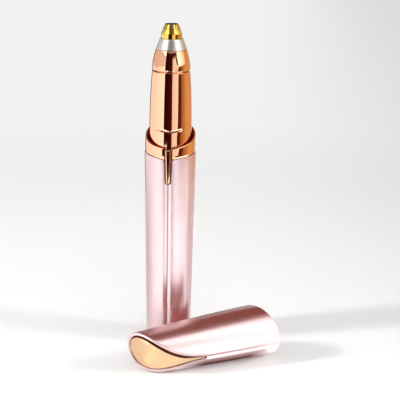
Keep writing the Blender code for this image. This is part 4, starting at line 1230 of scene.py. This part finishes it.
def slantedColumn(turn, radiusAt, curve, lip, edge):
    # one column of a wall: from the slanted mouth up to the cut, and along the cut to its middle line
    def at(radius, height):
        return facing(turn) * radius + up * height

    slope = -rimSlope * math.cos(turn)
    wide = radiusAt(0)
    foot = wide * slope
    start = foot + abs(lip)
    column = softCorner(at(wide - lip, (wide - lip) * slope), at(wide, foot), at(wide, start))
    spot = curve[-1][1]
    for (low, first), (high, second) in zip(curve, curve[1:]):
        if low <= abs(turn) <= high:
            spot = first.lerp(second, (abs(turn) - low) / max(high - low, 1e-9))
            break
    top = at(radiusAt(spot.x), spot.x)
    soft = min(edge, abs(top.x) * cap["cutShare"])
    for height in between(start, spot.x - soft, cap["rows"])[1:]:
        column.append(at(radiusAt(height), height))
    across = Vector((-math.copysign(soft, top.x), 0, 0))
    column += softCorner(column[-1], top, top + across)[1:]
    last = column[-1]
    middle = Vector((0, last.y, last.z))
    return column + [last.lerp(middle, share) for share in between(0, 1, cap["cutRows"])[1:]]


def cutByAngle(radiusAt, depth):
    # where the curved cut, moved inward by a depth, meets a round wall: (angle from the front, place)
    curve = []
    for spot, inner in cutCurve(depth):
        radius = radiusAt(spot.x)
        if abs(spot.y) <= radius:
            curve.append((math.acos(spot.y / radius), spot))
    first, last = curve[0][1].x, curve[-1][1].x
    curve[0] = (0.0, Vector((first, radiusAt(first))))
    curve[-1] = (math.pi, Vector((last, -radiusAt(last))))
    return curve


def capSkin():
    outer = cutByAngle(capRadius, 0)
    inner = cutByAngle(cavityRadius, cap["crownWall"])
    columns = []
    for turn in between(-math.pi, math.pi, cap["half"] * 2)[:-1]:
        hollow = slantedColumn(turn, cavityRadius, inner, -cap["boreRound"], cap["hollowRound"])
        outside = slantedColumn(turn, capRadius, outer, cap["mouthRound"], cap["cutRound"])
        columns.append(hollow[::-1] + outside)
    return skin("capShell", columns, closed=False)


def inlayStations():
    # places along the cut, closer at the ends: (place, the way inward, half the plate's width)
    def halfWidth(spot):
        radius = capRadius(spot.x)
        if spot.y >= 0:
            return math.sqrt(max(radius**2 - spot.y**2, 0)) - inlay["rim"]
        return math.sqrt(max((radius - inlay["rim"]) ** 2 - spot.y**2, 0))

    fine = cutCurve()
    least = inlay["tipWidth"] / 2
    inside = [i for i, (spot, inner) in enumerate(fine) if halfWidth(spot) >= least]
    stations = []
    for angle in between(0, math.pi, inlay["stations"]):
        share = (1 - math.cos(angle)) / 2
        spot, inner = fine[round(inside[0] + (inside[-1] - inside[0]) * share)]
        stations.append((spot, inner, max(halfWidth(spot), least)))
    return stations


def leaf(name, stations, layers, standOff=0.0):
    # a leaf-shaped plate along the curved cut; layers are (depth under the cut, growth)
    last = len(stations) - 1
    rows = []
    for k, (spot, inner, half) in enumerate(stations):
        end = (k == last) - (k == 0)
        swell = max(math.sin(math.pi * k / last), 0) ** inlay["standShare"]
        drawn = min(standOff * swell, half * inlay["standMost"])
        right = []
        left = []
        for depth, grow in layers:
            point = spot + inner * depth + Vector((-inner.y, inner.x)) * grow * end
            right.append(Vector((half + grow - drawn, -point.y, point.x)))
            left.append(Vector((-half - grow, -point.y, point.x)))
        rows.append(right + left[::-1])
    return capped(name, rows)


def grooveCutter():
    # the V groove, from the mouth to the inlay's tip
    tip = inlayStations()[0][0].x
    spread = cap["grooveSpread"]
    half = cap["grooveWidth"] / 2 * spread
    rows = []
    for height in between(-rimSlope * mouthRadius - mm, tip, cap["grooveSteps"]):
        deep = capRadius(height) - cap["grooveDepth"]
        high = deep + cap["grooveDepth"] * spread
        outline = ((-half, high), (0, deep), (half, high), (half, high + mm), (-half, high + mm))
        rows.append([Vector((x, -y, height)) for x, y in outline])
    return capped("capGroove", rows)


def pocketCutter(stations):
    # the plate's pocket; its marked faces, deep down and under the upper edge, get painted shade
    flare = inlay["flare"]
    deep = inlay["recess"] + inlay["thickness"] + fineGap
    lit = inlay["recess"] + inlay["litDepth"]
    layers = ((deep, 0), (lit, 0), (flare, 0), (0, flare), (-mm, flare * 2))
    pocket = leaf("pocket", stations, [(depth, fineGap + grow) for depth, grow in layers])
    for face in pocket.data.polygons:
        here = Vector((face.center.z, -face.center.y))
        depth = min((here - spot).length for spot, inner, half in stations)
        face.material_index = 1 if depth > lit and face.normal.x > inlay["litSide"] else 0
    return pocket


def capPose():
    # how the cap lies: on its side, tipped to rest on its taper, turned and rolled
    touch = capLength * cap["restShare"]
    slope = cap["taperShare"] * cap["taper"] / capLength * cap["restShare"] ** (cap["taperShare"] - 1)
    dip = math.atan(slope)
    height = touch * math.sin(dip) + capRadius(touch) * math.cos(dip)
    turn = (Matrix.Rotation(math.radians(cap["yaw"]), 4, "Z")
            @ Matrix.Rotation(-math.pi / 2 - dip, 4, "Y")
            @ Matrix.Rotation(-math.radians(cap["roll"]), 4, "Z"))
    return Matrix.Translation((cap["aside"], -cap["ahead"], height)) @ turn


def makeFootShade():
    # the dark line where the cap rests, for its own polished underside
    pose = capPose()
    along = (pose.to_3x3() @ up).xy.normalized()
    front = Vector((-along.y, along.x, 0))
    rows = []
    for offset, tone in cap["footShade"]:
        row = []
        for share, fade in zip(cap["shadeRun"], (1, 0, 0, 1)):
            spot = pose @ (up * capLength * share)
            shown = Vector(tone).lerp(Vector(studio["floorNear"]), fade)
            row.append((Vector((spot.x, spot.y, cap["shadeLift"])) + front * offset * mm, shown))
        rows.append(row)
    makeCard("footShade", rows)


def makeCap():
    body = capSkin()
    stations = inlayStations()
    pocket = pocketCutter(stations)
    for part in (body, pocket):
        for name in ("pinkSatin", "roseRecessShade"):
            part.data.materials.append(finishes[name])
    carve(body, [grooveCutter()])
    carve(body, [pocket])
    recess, edge = inlay["recess"], inlay["edge"]
    bend = edge * inlay["edgeShare"]
    layers = ((recess + inlay["thickness"], 0), (recess + edge, 0), (recess + bend, -bend), (recess, -edge))
    plate = leaf("capPlate", stations[inlay["tipGap"]:], layers, inlay["standOff"])
    for part in (body, plate):
        part.data.transform(capPose())
    dress(body, "pinkSatin", "cap", "cap_shell", 15, "roseRecessShade")
    dress(plate, "paleRose", "cap", "cap_inlay", 20)


makeCap()
makeFootShade()
print("cap made")


# The pieces inside keep their CAD shapes and get their finishes
inside = {
    "turnedSteel": ("board_screw", "motor_can", "motor_shaft", "cutter_blades"),
    "nickelPlate": ("negative_contact", "negative_spring", "positive_contact", "cutter_spring"),
    "plainBrass": ("motor_terminal_left", "motor_terminal_right", "shaft_bush"),
    "blackMoulded": ("switch_case", "motor_end_cap", "cutter_carrier", "foil_insert"),
    "whiteMoulded": ("chassis_frame", "switch_lever", "drive_coupling"),
    "boardMask": ("circuit_board",),
    "cellJacket": ("cell",),
    "softRubber": ("friction_ring",),
    "blackWire": ("lead_left",),
    "redWire": ("lead_right",),
}
for material, names in inside.items():
    for name in names:
        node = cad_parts[name]
        node.data.materials.clear()
        node.data.materials.append(finishes[material])
print("inner pieces finished")
